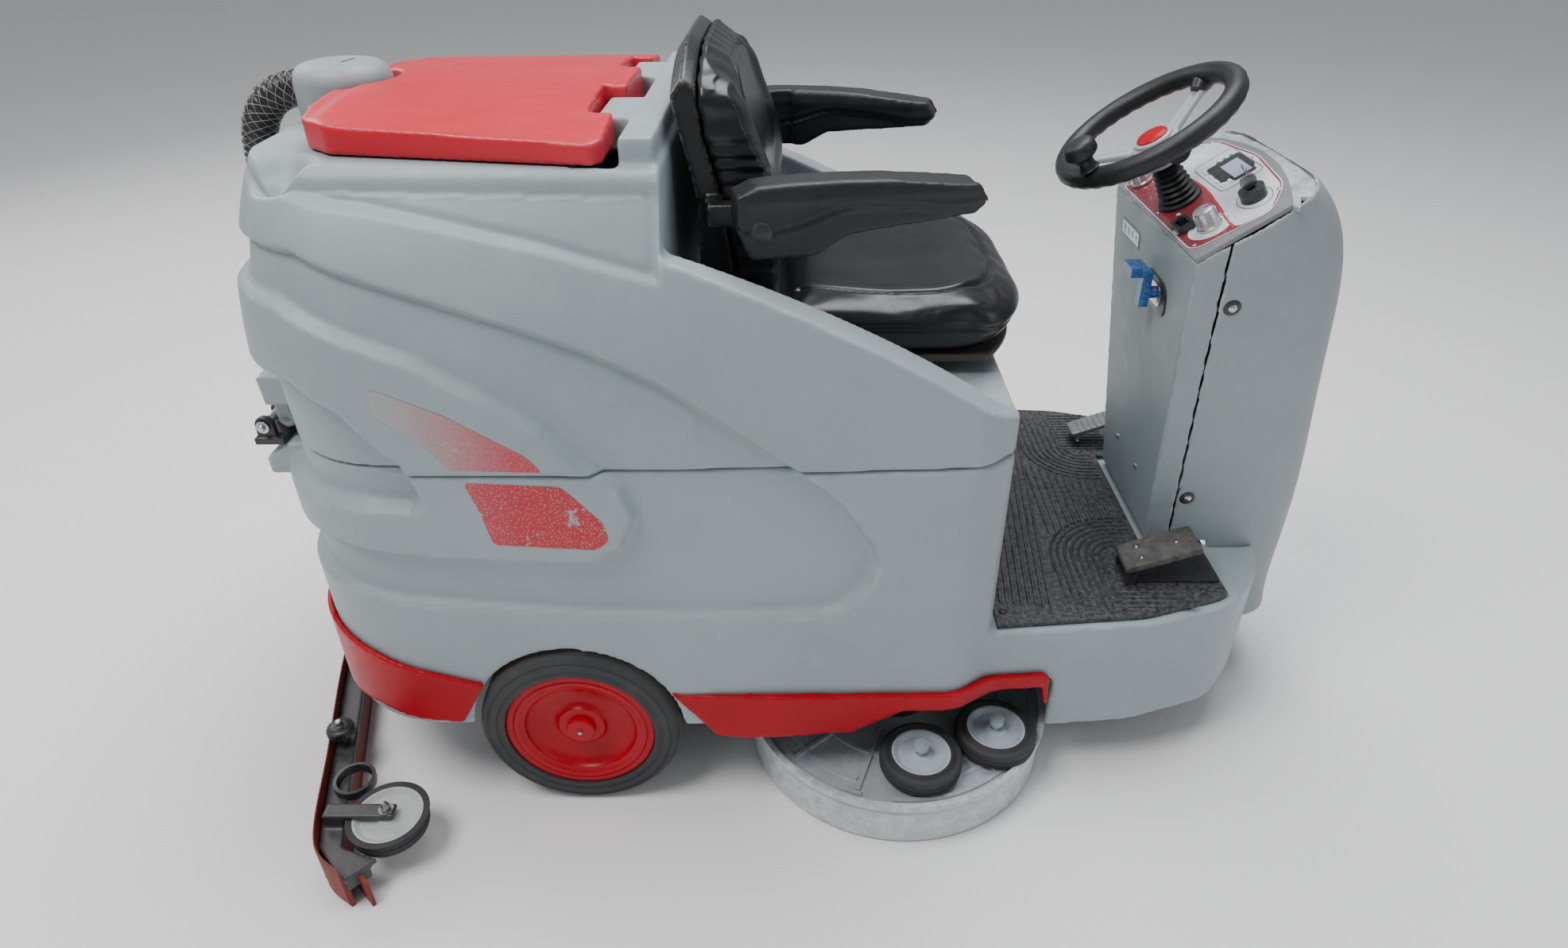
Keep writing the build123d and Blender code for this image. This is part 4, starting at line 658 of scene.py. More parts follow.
moulded("tank_lid", 0.0032, 4, "lid", "lid_red", after=lid_form)
moulded("rear_bumper", 0.0034, 3, "chassis", "red_plastic")
moulded("side_skirts", 0.0028, 3, "chassis", "red_plastic")
moulded("column_front_cover", 0.0034, 3, "chassis", "cover_grey")
moulded("column_rear_panel", 0.0032, 2, "chassis", "cover_grey")
moulded("hose_cap", 0.0026, 4, "recovery_tank", "cover_grey")

# --- Seat ---------------------------------------------------------------------------------------

print("seat")


def puffed(raw, voxel, pinned, pressure, cap):
    """A cushion blown up by a short cloth run, held where it is stitched, then made finer."""
    shell = bpy.data.objects.new("puff", remeshed(raw, voxel, 2))
    SCENE.collection.objects.link(shell)
    rest = get_points(shell.data)
    held = shell.vertex_groups.new(name="held")
    for i, weight in enumerate(pinned(rest)):
        if weight > 0.01:
            held.add([i], float(weight), "REPLACE")
    moved = rest
    cloth = shell.modifiers.new("cloth", "CLOTH")
    cloth.settings.vertex_group_mass = "held"
    cloth.settings.use_pressure = True
    cloth.settings.uniform_pressure_force = pressure
    cloth.settings.tension_stiffness = 20
    cloth.settings.compression_stiffness = 20
    cloth.settings.shear_stiffness = 10
    cloth.settings.bending_stiffness = 8.0
    cloth.settings.effector_weights.gravity = 0
    cloth.point_cache.frame_start, cloth.point_cache.frame_end = 1, 20
    for number in range(1, 21):
        SCENE.frame_set(number)
    moved = get_points(settled(shell))
    SCENE.frame_set(1)
    shell.modifiers.clear()
    move = moved - rest
    size = np.linalg.norm(move, axis=1)
    move *= np.minimum(1.0, cap / np.maximum(size, 1e-9))[:, None]
    set_points(shell.data, rest + move)
    ease = shell.modifiers.new("ease", "SMOOTH")
    ease.factor, ease.iterations = 0.5, 7
    finer = shell.modifiers.new("finer", "SUBSURF")
    finer.levels = 1
    made = settled(shell)
    bpy.data.objects.remove(shell)
    return made


def rounded_nose(co):
    """Rounds the seat's front corners in plan."""
    edge = np.clip((np.abs(co[:, 1]) - 0.085) / 0.15, 0, 1)
    co[:, 0] -= 0.058 * edge ** 2 * step(co[:, 0], 0.06, 0.30)
    return co


def rounded_top(co):
    """Rounds the backrest's upper corners."""
    edge = np.clip((np.abs(co[:, 1]) - 0.07) / 0.18, 0, 1.2)
    co[:, 2] -= 0.062 * edge ** 2 * step(co[:, 2], 0.88, 1.06)
    return co


def groove(co, no, distance, width, depth):
    """Presses a stitched line into a padded skin, with a slight roll on each side."""
    line = np.exp(-((distance / width) ** 2))
    roll = np.exp(-(((np.abs(distance) - 2.6 * width) / (1.6 * width)) ** 2))
    return co - no * (depth * line - depth * 0.22 * roll)[:, None]


lo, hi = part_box("seat_cushion")
SEAT_HALF = 0.5 * (hi.y - lo.y)
ACROSS = plane((0, 0, 0), (1, 0, 0), (0, -1, 0))
nose = [
    (lo.x + 0.012, lo.z + 0.003), (hi.x - 0.062, lo.z + 0.003), (hi.x - 0.020, lo.z + 0.014),
    (hi.x - 0.005, lo.z + 0.040), (hi.x - 0.014, hi.z - 0.020), (hi.x - 0.052, hi.z - 0.004),
    (lo.x + 0.20, hi.z - 0.010), (lo.x + 0.06, hi.z - 0.012), (lo.x + 0.012, hi.z - 0.016),
    (lo.x + 0.003, hi.z - 0.042),
]
SEAT_FLOOR, SEAT_FRONT, SEAT_REAR = lo.z, hi.x, lo.x
seat_raw = prism(soften(nose, 0.03, True, 4), -SEAT_HALF + 0.004, SEAT_HALF - 0.004, ACROSS, 0.024, 4)
seat_mesh = puffed(
    seat_raw, 0.0055, lambda co: 1 - step(co[:, 2], SEAT_FLOOR + 0.012, SEAT_FLOOR + 0.035), 1.6, 0.005,
)
co, no = rounded_nose(get_points(seat_mesh)), get_normals(seat_mesh)
# The seam runs round the top panel: along each side, then across behind the nose
SEAM_PLAN = curve_points([
    (SEAT_REAR + 0.03, -0.150, 0), (SEAT_REAR + 0.12, -0.176, 0), (SEAT_REAR + 0.22, -0.184, 0),
    (SEAT_FRONT - 0.075, -0.150, 0), (SEAT_FRONT - 0.05, -0.09, 0), (SEAT_FRONT - 0.045, 0, 0),
    (SEAT_FRONT - 0.05, 0.09, 0), (SEAT_FRONT - 0.075, 0.150, 0), (SEAT_REAR + 0.22, 0.184, 0),
    (SEAT_REAR + 0.12, 0.176, 0), (SEAT_REAR + 0.03, 0.150, 0),
], 6)
plan = co[:, :2]
upper = step(no[:, 2], 0.2, 0.6) * step(co[:, 2], SEAT_FLOOR + 0.045, SEAT_FLOOR + 0.06)
seam = line_distance(plan, [tuple(p)[:2] for p in SEAM_PLAN])
co = groove(co, no * upper[:, None], seam, 0.0035, 0.0050)
hollow = np.exp(-((plan[:, 0] - (SEAT_REAR + 0.15)) / 0.10) ** 2 - (plan[:, 1] / 0.12) ** 2)
co[:, 2] -= upper * hollow * 0.010
crease = np.sin(plan[:, 1] * 95 + 3 * np.sin(plan[:, 0] * 22)) * np.exp(-((seam / 0.03) ** 2))
co += no * (crease * 0.0006 * upper + 0.0005 * wavy(co, 30))[:, None]
# the border below: a second seam along the sides, and folds towards it
side_seam = np.abs(co[:, 2] - (SEAT_FLOOR + 0.030 + 0.012 * np.abs(np.sin(3.2 * (co[:,
    0] - SEAT_REAR) / 0.35))))
co = groove(co, no * (1 - upper)[:, None] * (co[:, 2] > SEAT_FLOOR + 0.014)[:, None], side_seam, 0.0028,
    0.0026)
co[:, 2] = np.maximum(co[:, 2], SEAT_FLOOR)
set_points(seat_mesh, co)
moulded("seat_pan", 0.0030, 1, "seat", "frame_steel", after=lambda co, no: rounded_nose(co))
piece("seat_cushion_vinyl", seat_mesh, "seat_vinyl", "seat", ("seat_cushion",), sharp=0)

# The backrest's cushion: the front swells, and its rear edge is held along the shell
lo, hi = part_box("backrest_cushion")
BACK_FRONT = [(-0.120, 1.066), (-0.092, 1.054), (-0.085, 1.040), (-0.068, 0.980), (-0.040, 0.900),
              (-0.036, 0.850), (-0.042, 0.800), (-0.040, 0.766)]
BACK_REAR = [(-0.076, 0.766), (-0.082, 0.782), (-0.096, 0.882), (-0.118, 0.992), (-0.126, 1.060)]
BACK_HALF = hi.y


def back_front_x(z):
    """Where the backrest's front lies at a height."""
    heights = [p[1] for p in reversed(BACK_FRONT)]
    return np.interp(z, heights, [p[0] for p in reversed(BACK_FRONT)])


back_raw = prism(soften(BACK_FRONT + BACK_REAR, 0.02, True, 4), -BACK_HALF + 0.003, BACK_HALF - 0.003,
                 ACROSS, 0.020, 4)
back_mesh = puffed(
    back_raw, 0.0055, lambda co: step(back_front_x(co[:, 2]) - co[:, 0], 0.012, 0.026), 1.6, 0.005,
)
co, no = get_points(back_mesh), get_normals(back_mesh)
facing = step(no[:, 0], 0.25, 0.6)
front_plan = np.column_stack([co[:, 1], co[:, 2]])
PANEL = soften([(-0.120, 0.80), (0.120, 0.80), (0.145, 0.90), (0.120, 1.035), (-0.120, 1.035),
    (-0.145, 0.90)],
               0.05, True, 6)
panel_edge = np.abs(signed_distance(front_plan, PANEL))
co = groove(co, no * facing[:, None], panel_edge, 0.0032, 0.0050)
bolster = step(np.abs(co[:, 1]), 0.145, 0.185)
co[:, 0] += facing * (0.010 * bolster - 0.004 * (1 - bolster))
rim = np.minimum(BACK_HALF - np.abs(co[:, 1]), 1.066 - co[:, 2])
pleats = np.sin(co[:, 2] * 210 + co[:, 1] * 160 + 2 * np.sin(co[:, 2] * 40)) * np.exp(-((rim / 0.028) ** 2))
co += no * (pleats * 0.0009 + 0.0005 * wavy(co, 30, 2.0))[:, None]
set_points(back_mesh, rounded_top(co))
piece("backrest_cushion_vinyl", back_mesh, "seat_vinyl", "backrest", ("backrest_cushion",),
    sharp=0)

moulded("backrest_shell", 0.0030, 3, "backrest", "seat_shell", after=lambda co, no: rounded_top(co))

# Armrests: a padded upper on a moulded lower bracket, parted by a flowing line
PIVOT = (-0.047, 0.883)
ARM_TURN = math.radians(11.0)
PARTING = curve_points([(-0.036, 0.004, 0), (0.0, -0.002, 0), (0.045, 0.006, 0), (0.10, 0.022, 0),
                        (0.17, 0.020, 0), (0.235, 0.012, 0), (0.276, 0.016, 0)], 8)
for side, hand in SIDES:
    arm = remeshed(NODES["armrest_" + hand].data.copy(), 0.0030, 6)
    co, no = get_points(arm), get_normals(arm)
    dx, dy = co[:, 0] - PIVOT[0], co[:, 1] - side * 0.281
    u = dx * math.cos(ARM_TURN) - side * dy * math.sin(ARM_TURN)
    v = co[:, 2] - PIVOT[1]
    w = dx * math.sin(ARM_TURN) + side * dy * math.cos(ARM_TURN)
    away = line_distance(np.column_stack([u, v]), [tuple(p)[:2] for p in PARTING])
    flank = step(np.abs(w), 0.010, 0.018)
    co = groove(co, no * flank[:, None], away, 0.0016, 0.0030)
    lower = step(np.interp(u, [p[0] for p in PARTING], [p[1] for p in PARTING]) - v, 0.0, 0.006)
    narrow = 0.005 * lower * step(u, 0.05, 0.16) + 0.006 * step(u, 0.23, 0.278) + 0.003 * step(-u, 0.0,
        0.04)
    co[:, 1] -= side * np.sign(w) * narrow * flank * math.cos(ARM_TURN)
    ridge = np.exp(-((v - 0.034) / 0.006) ** 2) * flank * (u > -0.02)
    co += no * (0.0012 * ridge + 0.0004 * wavy(co, 60, side))[:, None]
    pad = step(v, 0.038, 0.052)
    co[:, 2] += pad * (0.0015 * np.sin(u * 24) - 0.004 * step(u, 0.2, 0.28))
    set_points(arm, co)
    piece("armrest_pad_" + hand, arm, "soft_black", "armrest_" + hand, ("armrest_" + hand,), sharp=0)
    bolt_at = along((PIVOT[0], side * 0.3085, PIVOT[1]), (0, side, 0))
    piece("armrest_bolt_" + hand, turned([(0, 0.004), (0.008, 0.0036), (0.0125, 0.001), (0.013, -0.006),
                                          (0, -0.006)], bolt_at, 32), "black_plastic", "armrest_" + hand)

# --- Wheels -------------------------------------------------------------------------------------

print("wheels")
WHEEL_AT, WHEEL_FACE = (AX, 0.150), 0.407
for side, hand in SIDES:
    hub_at = along((WHEEL_AT[0], side * WHEEL_FACE, WHEEL_AT[1]), (0, side, 0))
    # heights count outwards from the wheel's face; the tread lies 80 mm deep behind it
    tyre_line = [
        (0.1125, -0.078), (0.1125, -0.002), (0.1165, 0.0), (0.121, -0.0022), (0.1235, -0.0022),
        (0.125, -0.0006),
        (0.134, -0.0012), (0.1355, -0.0032), (0.1375, -0.0032), (0.139, -0.0022), (0.1445, -0.0055),
        (0.1485, -0.0110), (0.1498, -0.0180), (0.1500, -0.0255), (0.1470, -0.0262), (0.1470, -0.0292),
        (0.1500, -0.0300),
        (0.1500, -0.0385), (0.1470, -0.0392), (0.1470, -0.0422), (0.1500, -0.0430), (0.1500, -0.0515),
        (0.1470, -0.0522), (0.1470, -0.0552), (0.1500, -0.0560), (0.1496, -0.0660), (0.1475, -0.0725),
        (0.142, -0.0765),
        (0.125, -0.0790),
    ]
    piece("tyre_" + hand, turned(tyre_line, hub_at, 144, True), "tyre", "rear_wheel_" + hand,
                 ("rear_tyre_" + hand,), sharp=32)
    band_line = [(0.1482, -0.0105), (0.1502, -0.0182), (0.1503, -0.0252)]
    tread_mesh = turned(band_line + [(0.1495, -0.0250), (0.1490, -0.0182), (0.1478, -0.0110)], hub_at,
                        144, True)
    piece("tread_wear_" + hand, tread_mesh, "tread", "rear_wheel_" + hand)
    disc_line = [
        (0.0, -0.004), (0.0195, -0.004), (0.0215, -0.006), (0.0222, -0.012), (0.0222, -0.0145),
        (0.032, -0.0155),
        (0.0345, -0.0165), (0.0365, -0.020), (0.040, -0.0235), (0.046, -0.0255), (0.058, -0.0250),
        (0.072, -0.0215),
        (0.080, -0.0165), (0.0835, -0.0125), (0.0845, -0.0095), (0.0900, -0.0075), (0.0930, -0.0050),
        (0.0985, -0.0046), (0.1005, -0.0062), (0.1025, -0.0046), (0.1090, -0.0044), (0.1118, -0.0060),
        (0.1119, -0.070), (0.1045, -0.070), (0.1045, -0.030), (0.036, -0.036), (0.036, -0.076),
        (0.0135, -0.076),
        (0.0135, -0.030), (0.0, -0.030),
    ]
    piece("wheel_disc_" + hand, turned(disc_line, hub_at, 120), "wheel_red", "rear_wheel_" + hand,
          ("rear_disc_" + hand,), sharp=34)
    screw = turned([(0, 0.0008), (0.0022, 0.0006), (0.0032, -0.0004), (0.0034, -0.0042), (0, -0.0042)],
        hub_at, 20)
    piece("hub_screw_" + hand, screw, "bright_steel", "rear_wheel_" + hand)

# The drive wheel under the nose
drive_at = along((AX + 0.945, 0.038, 0.125), (0, 1, 0))
drive_line = [
    (0.084, -0.073), (0.084, -0.003), (0.090, 0.0), (0.113, 0.0), (0.121, -0.004), (0.1245, -0.010),
    (0.125, -0.0245), (0.122, -0.025), (0.122, -0.028), (0.125, -0.0285), (0.125, -0.0475),
    (0.122, -0.048), (0.122, -0.051), (0.125, -0.0515), (0.1245, -0.066), (0.121, -0.072),
    (0.113, -0.076), (0.090, -0.076),
]
piece("drive_tyre", turned(drive_line, drive_at, 120, True), "tyre", "drive_wheel", sharp=32)
hub_line = [(0.0122, -0.074), (0.040, -0.074), (0.044, -0.060), (0.083, -0.056), (0.0838, -0.072),
            (0.0838, -0.004), (0.083, -0.020), (0.044, -0.016), (0.040, -0.002), (0.0122, -0.002)]
piece("drive_hub", turned(hub_line, drive_at, 96, True), "frame_steel", "drive_wheel", sharp=34)
axle_line = [(0, 0.020), (0.0105, 0.020), (0.012, 0.018), (0.012, -0.094), (0.0105, -0.096), (0, -0.096)]
piece("drive_axle", turned(axle_line, drive_at, 40), "bright_steel", "drive_wheel", ("drive_wheel",),
    sharp=34)

# --- Steering wheel, knob and boot --------------------------------------------------------------

print("steering")
RING_R, RING_TUBE = 0.121, 0.015
SPOKE_ANGLES = (150.0, 270.0, 30.0)
ring_mesh = bmesh.new()
ring_at = wheel_at(0)
ring_profile = []
for k in range(24):
    a = 2 * math.pi * k / 24
    r = RING_TUBE
    # the parting groove round the outside, and finger waves on the underside
    if k == 0:
        r -= 0.0016
    ring_profile.append((RING_R + r * math.cos(a), r * math.sin(a)))
turned(ring_profile, ring_at, 160, True, into=ring_mesh)
for v in ring_mesh.verts:
    local = ring_at.inverted() @ v.co
    angle = math.atan2(local.y, local.x)
    if local.z < -0.006:
        v.co += (ring_at.to_3x3() @ Vector((0, 0, 1))) * 0.0012 * (0.5 + 0.5 * math.cos(angle * 34))
piece("steering_grip", ring_mesh, "soft_black", "steering_wheel", ("steering_rim",), sharp=0)

hub_mesh = bmesh.new()
turned([(0, -0.018), (0.024, -0.018), (0.0262, -0.0195), (0.027, -0.022), (0.027, -0.0235),
        (0.0325, -0.025), (0.034, -0.028), (0.034, -0.052), (0.0325, -0.0545), (0.030, -0.056),
        (0.026, -0.060), (0.0, -0.060)], ring_at, 72, into=hub_mesh)
piece("steering_boss", hub_mesh, "spoke_grey", "steering_wheel", ("steering_hub",), sharp=36)
piece("steering_cap", turned([(0, -0.0125), (0.012, -0.0128), (0.0195, -0.0142), (0.0218, -0.0165),
                              (0.022, -0.0182), (0, -0.0182)], ring_at, 56), "red_plastic",
      "steering_wheel", sharp=36)
shaft_mesh = turned([(0, -0.052), (0.0098, -0.052), (0.0098, -0.226), (0.008, -0.229), (0, -0.229)],
    ring_at, 40)
piece("steering_shaft", shaft_mesh, "bright_steel", "steering_wheel", sharp=36)
spokes, collars = bmesh.new(), bmesh.new()
for angle in SPOKE_ANGLES:
    a = math.radians(angle)
    out = Vector((math.cos(a), math.sin(a), 0))
    sides = Vector((-math.sin(a), math.cos(a), 0))
    rise = math.tan(math.radians(13.0))
    line = [ring_at @ (out * r + Vector((0, 0, -0.032 + (r - 0.030) * rise))) for r in
            (0.026, 0.040, 0.056, 0.072, 0.088, 0.098, 0.106)]
    top = ring_at.to_3x3() @ Vector((0, 0, 1))
    web = soften([(-0.0115, -0.0045), (0.0115, -0.0045), (0.0115, 0.0015), (0.0095, 0.0042),
                  (0.0045, 0.0042), (0.003, 0.0022), (-0.003, 0.0022), (-0.0045, 0.0042),
                  (-0.0095, 0.0042), (-0.0115, 0.0015)], 0.0012, True, 2)
    swept(line, web, up=top, into=spokes, scales=[1.15, 1.05, 0.98, 0.93, 0.9, 0.9, 0.9])
    # the black collar where the spoke meets the ring
    cone = [(r, h) for r, h in ((0.0, -0.016), (0.0105, -0.016), (0.0125, -0.010), (0.0150, -0.003),
                                (0.0166, 0.004), (0.0, 0.004))]
    base = ring_at @ (out * (RING_R - 0.006) + Vector((0, 0, -0.0085)))
    turned(cone, along(base, ring_at.to_3x3() @ (out + Vector((0, 0, rise * 1.5)))), 32, into=collars)
piece("steering_spokes", spokes, "spoke_grey", "steering_wheel", sharp=30)
piece("steering_collars", collars, "black_plastic", "steering_wheel", sharp=36)

a = math.radians(214.0)
knob_at = wheel_at(0) @ Matrix.Translation((RING_R * math.cos(a), RING_R * math.sin(a), 0))
knob_line = [(0, 0.0595), (0.010, 0.0592), (0.0165, 0.0575), (0.0202, 0.0545), (0.0216, 0.0508),
             (0.0220, 0.0480), (0.0220, 0.0400), (0.0208, 0.0372), (0.0170, 0.0345), (0.0125, 0.0318),
             (0.0108, 0.0280), (0.0112, 0.0225), (0.0132, 0.0185), (0.0150, 0.0165), (0.0150, 0.0155),
             (0.0, 0.0155)]
piece("knob_head", turned(knob_line, knob_at, 72), "soft_black", "spinner", ("spinner_knob",), sharp=36)
knurl = bmesh.new()
for k in range(48):
    b = 2 * math.pi * k / 48
    spot = knob_at @ Matrix.Rotation(b, 4, "Z") @ Matrix.Translation((0.0217, 0, 0.044))
    cuboid((-0.0008, 0.0009), (-0.0006, 0.0006), (-0.0036, 0.0036), spot, into=knurl)
piece("knob_knurl", knurl, "soft_black", "spinner", smooth=False)

boot_at = dash_at(0.0) @ Matrix.Translation((0.0465, 0, 0))
boot_line = [(0.0122, 0.0065), (0.0305, 0.0065), (0.0310, 0.0085), (0.0308, 0.0115), (0.0285, 0.0130)]
height = 0.0140
for k in range(9):
    out_r, in_r = 0.0272 - 0.0014 * k, 0.0212 - 0.0012 * k
    boot_line += [(in_r, height + 0.0012), (out_r - 0.001, height + 0.0034), (out_r, height + 0.0044),
                  (out_r - 0.001, height + 0.0054)]
    height += 0.0084
boot_line += [(0.0125, height + 0.001), (0.0130, height + 0.006), (0.0118, height + 0.008)]
piece("boot_bellows", turned(boot_line, boot_at, 72), "soft_black", "chassis", ("steering_boot",), sharp=50)

# --- Dash ---------------------------------------------------------------------------------------

FACE = 0.0063
dash = dash_at(FACE)
# Controls on the dash: along its slope, and across to the driver's left
WATER_PLACE, SPEED_PLACE = (0.046, -0.122), (0.030, 0.128)
KEY_PLACE, TOGGLE_PLACE, STOP_PLACE = (0.112, -0.112), (0.022, -0.086), (0.098, 0.146)


def arc(centre, radius, start, end, count=24):
    return [
        (centre[0] + radius * math.cos(math.radians(start + (end - start) * k / count)),
         centre[1] + radius * math.sin(math.radians(start + (end - start) * k / count)))
        for k in range(count + 1)
    ]


def rounded_box(cx, cy, w, h, r):
    return soften([(cx - w / 2, cy - h / 2), (cx + w / 2, cy - h / 2), (cx + w / 2, cy + h / 2),
        (cx - w / 2, cy + h / 2)],
                  r, True, 6)


def printed(name, outline, look, level, thick=0.00018):
    """A flat printed area on the dash, a little above the one before it."""
    base = 0.00015 + 0.00022 * level
    return piece(name, prism(outline, base, base + thick, dash), look, "chassis", smooth=False)


def printed_line(name, points, width, look, level, closed=True):
    """A printed border line."""
    bm = bmesh.new()
    base = 0.00015 + 0.00022 * level
    pts = [dash @ Vector((x, y, base)) for x, y in points]
    up = dash.to_3x3() @ Vector((0, 0, 1))
    half_w = width / 2
    swept(pts, [(-half_w, 0), (half_w, 0), (half_w, 0.0002), (-half_w, 0.0002)], up=up, closed=closed,
        into=bm)
    return piece(name, bm, look, "chassis", smooth=False)


# The maroon area lies towards the driver, the silver one towards the front
border = soften([(0.006, -0.158), (0.112, -0.170), (0.150, -0.118), (0.164, 0.0), (0.150, 0.118),
                 (0.112, 0.170), (0.006, 0.158)], 0.02, True, 8)
silver = soften([(0.066, -0.160), (0.110, -0.168), (0.147, -0.116), (0.161, 0.0), (0.147, 0.116),
                 (0.110, 0.168), (0.066, 0.160), (0.078, 0.060), (0.082, 0.0), (0.078, -0.060)], 0.012,
                True, 6)
printed("dash_field", border, "dash_maroon", 0)
printed("dash_front_field", silver, "dash_silver", 1)
printed_line("dash_border", border, 0.0016, "dash_silver", 2)
wave = curve_points([(0.064, -0.160, 0), (0.070, -0.10, 0), (0.080, -0.03, 0), (0.080, 0.03, 0),
                     (0.070, 0.10, 0), (0.064, 0.160, 0)], 10)
printed_line("dash_wave", [tuple(p)[:2] for p in wave], 0.0030, "ink_red", 2, False)

# the keypad: a rounded outline with a screen and two rows of oval keys
printed("keypad_field", rounded_box(0.122, 0.010, 0.062, 0.118, 0.012), "dash_silver", 2)
printed_line("keypad_border", rounded_box(0.122, 0.010, 0.062, 0.118, 0.012), 0.0011, "ink_dark", 3)
piece("dash_screen_frame", prism(rounded_box(0.130, -0.004, 0.034, 0.066, 0.004), 0.0004, 0.0026, dash,
    0.0008),
      "black_plastic", "chassis", sharp=30)
piece("dash_screen", prism(rounded_box(0.130, -0.004, 0.026, 0.056, 0.002), 0.0020, 0.0031, dash, 0.0004),
      "screen", "chassis", sharp=30)
keys = bmesh.new()
for k in range(4):
    for x in (0.112, 0.100):
        prism(rounded_box(x, -0.030 + 0.0215 * k, 0.0078, 0.0150, 0.0038), 0.0005, 0.0020, dash, 0.0006,
            into=keys)
piece("dash_keys", keys, "dash_white", "chassis", sharp=30)
lamps_on = bmesh.new()
for k in range(3):
    prism(arc((0.142 - 0.010 * k, 0.046), 0.0028, 0, 348, 20), 0.0005, 0.0022, dash, 0.0006, into=lamps_on)
piece("dash_lamps", lamps_on, "ink_green", "chassis", sharp=30)

# rings and scales printed round the dials and the key
printed("water_scale", [(WATER_PLACE[0] + 0.030 * math.cos(t),
    WATER_PLACE[1] + 0.030 * math.sin(t)) for t in (2 * math.pi * k / 40 for k in range(40))],
        "dash_white", 2)
for n, (cx, cy) in enumerate((WATER_PLACE, SPEED_PLACE)):
    for k in range(9):
        t = math.radians(-135 + 270 * k / 8)
        reach = 0.0022 + 0.00034 * k
        centre = (cx + 0.0252 * math.cos(t), cy + 0.0252 * math.sin(t))
        dot = [(centre[0] + reach / 2 * math.cos(q), centre[1] + reach / 2 * math.sin(q)) for q in
               (2 * math.pi * j / 12 for j in range(12))]
        printed(f"scale_mark_{n}_{k}", dot, "ink_blue" if n == 0 else "dash_white", 3)
printed_line("key_outline", [(KEY_PLACE[0] + 0.022 * math.cos(t),
    KEY_PLACE[1] + 0.030 * math.sin(t)) for t in (2 * math.pi * k / 40 for k in range(40))], 0.0012,
             "ink_dark", 2)
printed("toggle_field", rounded_box(*TOGGLE_PLACE, 0.030, 0.020, 0.006), "dash_silver", 2)
screws = bmesh.new()
for x, y in ((0.014, -0.146), (0.014, 0.146), (0.140, -0.124), (0.140, 0.124), (0.156, 0.0), (0.012, 0.0)):
    turned([(0, 0.0016), (0.0022, 0.0015), (0.0031, 0.0008), (0.0033, 0.0002), (0, 0.0002)],
           dash @ Matrix.Translation((x, y, 0)), 20, into=screws)
piece("dash_screws", screws, "bright_steel", "chassis", sharp=30)


def fluted(name, place, body, radius, high):
    """A fluted dial with a raised pointer."""
    at = dash @ Matrix.Translation((*place, 0))
    bm = turned([(0, high), (radius * 0.55, high), (radius * 0.78, high - 0.0014),
                 (radius * 0.86, high - 0.004), (radius * 0.90, 0.006), (radius, 0.0040),
                 (radius, 0.0014), (radius * 0.9, 0.0006), (0, 0.0006)], at, 60)
    for k in range(14):
        spot = at @ Matrix.Rotation(2 * math.pi * k / 14, 4,
            "Z") @ Matrix.Translation((radius * 0.87, 0, high * 0.5))
        turned([(0, -high * 0.36), (0.0012, -high * 0.36), (0.0012, high * 0.32), (0, high * 0.36)], spot,
            8, into=bm)
    piece(name, bm, "dial_silver", body, (body,), sharp=32)
    bar = prism(rounded_box(radius * 0.42, 0, radius * 0.7, 0.0022, 0.001), high - 0.0008, high + 0.0009,
        at, 0.0004)
    piece(name + "_pointer", bar, "ink_red", body, sharp=32)
fluted("water_knob", WATER_PLACE, "water_dial", 0.0170, 0.030)
fluted("speed_knob", SPEED_PLACE, "speed_dial", 0.0170, 0.030)

# key switch: a barrel, the key's bow and a ring hanging from it
key_at = dash @ Matrix.Translation((*KEY_PLACE, 0))
barrel = [(0, 0.0115), (0.0042, 0.0115), (0.0046, 0.0100), (0.0090, 0.0100), (0.0105, 0.0085),
          (0.0108, 0.0012), (0.0135, 0.0012), (0.0138, 0.0003), (0, 0.0003)]
piece("key_barrel", turned(barrel, key_at, 48), "black_plastic", "chassis", sharp=34)
bow = prism(soften([(-0.0098, 0.018), (0.0098, 0.018), (0.0115, 0.028), (0.008, 0.036), (-0.008, 0.036),
    (-0.0115, 0.028)],
                   0.004, True, 4), -0.0012, 0.0012, key_at @ Matrix.Rotation(math.radians(90), 4, "X"),
                   0.0006)
cuboid((-0.0032, 0.0032), (-0.0011, 0.0011), (0.0105, 0.020), key_at, 0.0004, into=bow)
piece("key_bow", bow, "key_steel", "key", ("key",), sharp=34)
ring_key = turned([(0.0092 + 0.0007 * math.cos(2 * math.pi * k / 8),
                    0.0007 * math.sin(2 * math.pi * k / 8)) for k in range(8)],
                  key_at @ Matrix.Translation((0.002, 0, 0.0420)) @ Matrix.Rotation(math.radians(80), 4,
                                                                                    "Y"), 40, True)
piece("key_ring", ring_key, "key_steel", "key", sharp=0)

# toggle: a black body on its plate with a pale top
toggle_at = dash @ Matrix.Translation((*TOGGLE_PLACE, 0))
piece("toggle_body", prism(rounded_box(0, 0, 0.0200, 0.0130, 0.003), 0.0007, 0.0050, toggle_at, 0.001),
      "black_plastic", "chassis", sharp=32)
stick = turned([(0, 0.0052), (0.0042, 0.0054), (0.0036, 0.012), (0.0044, 0.0185), (0.0042, 0.0215),
                (0.0026, 0.0228), (0, 0.0230)], toggle_at, 28)
piece("toggle_stick", stick, "black_plastic", "toggle", ("toggle_lever",), sharp=36)
piece("toggle_cap", turned([(0.0030, 0.0229), (0.0022, 0.0236), (0, 0.0238), (0, 0.0226)], toggle_at, 24),
      "dash_white", "toggle", sharp=36)

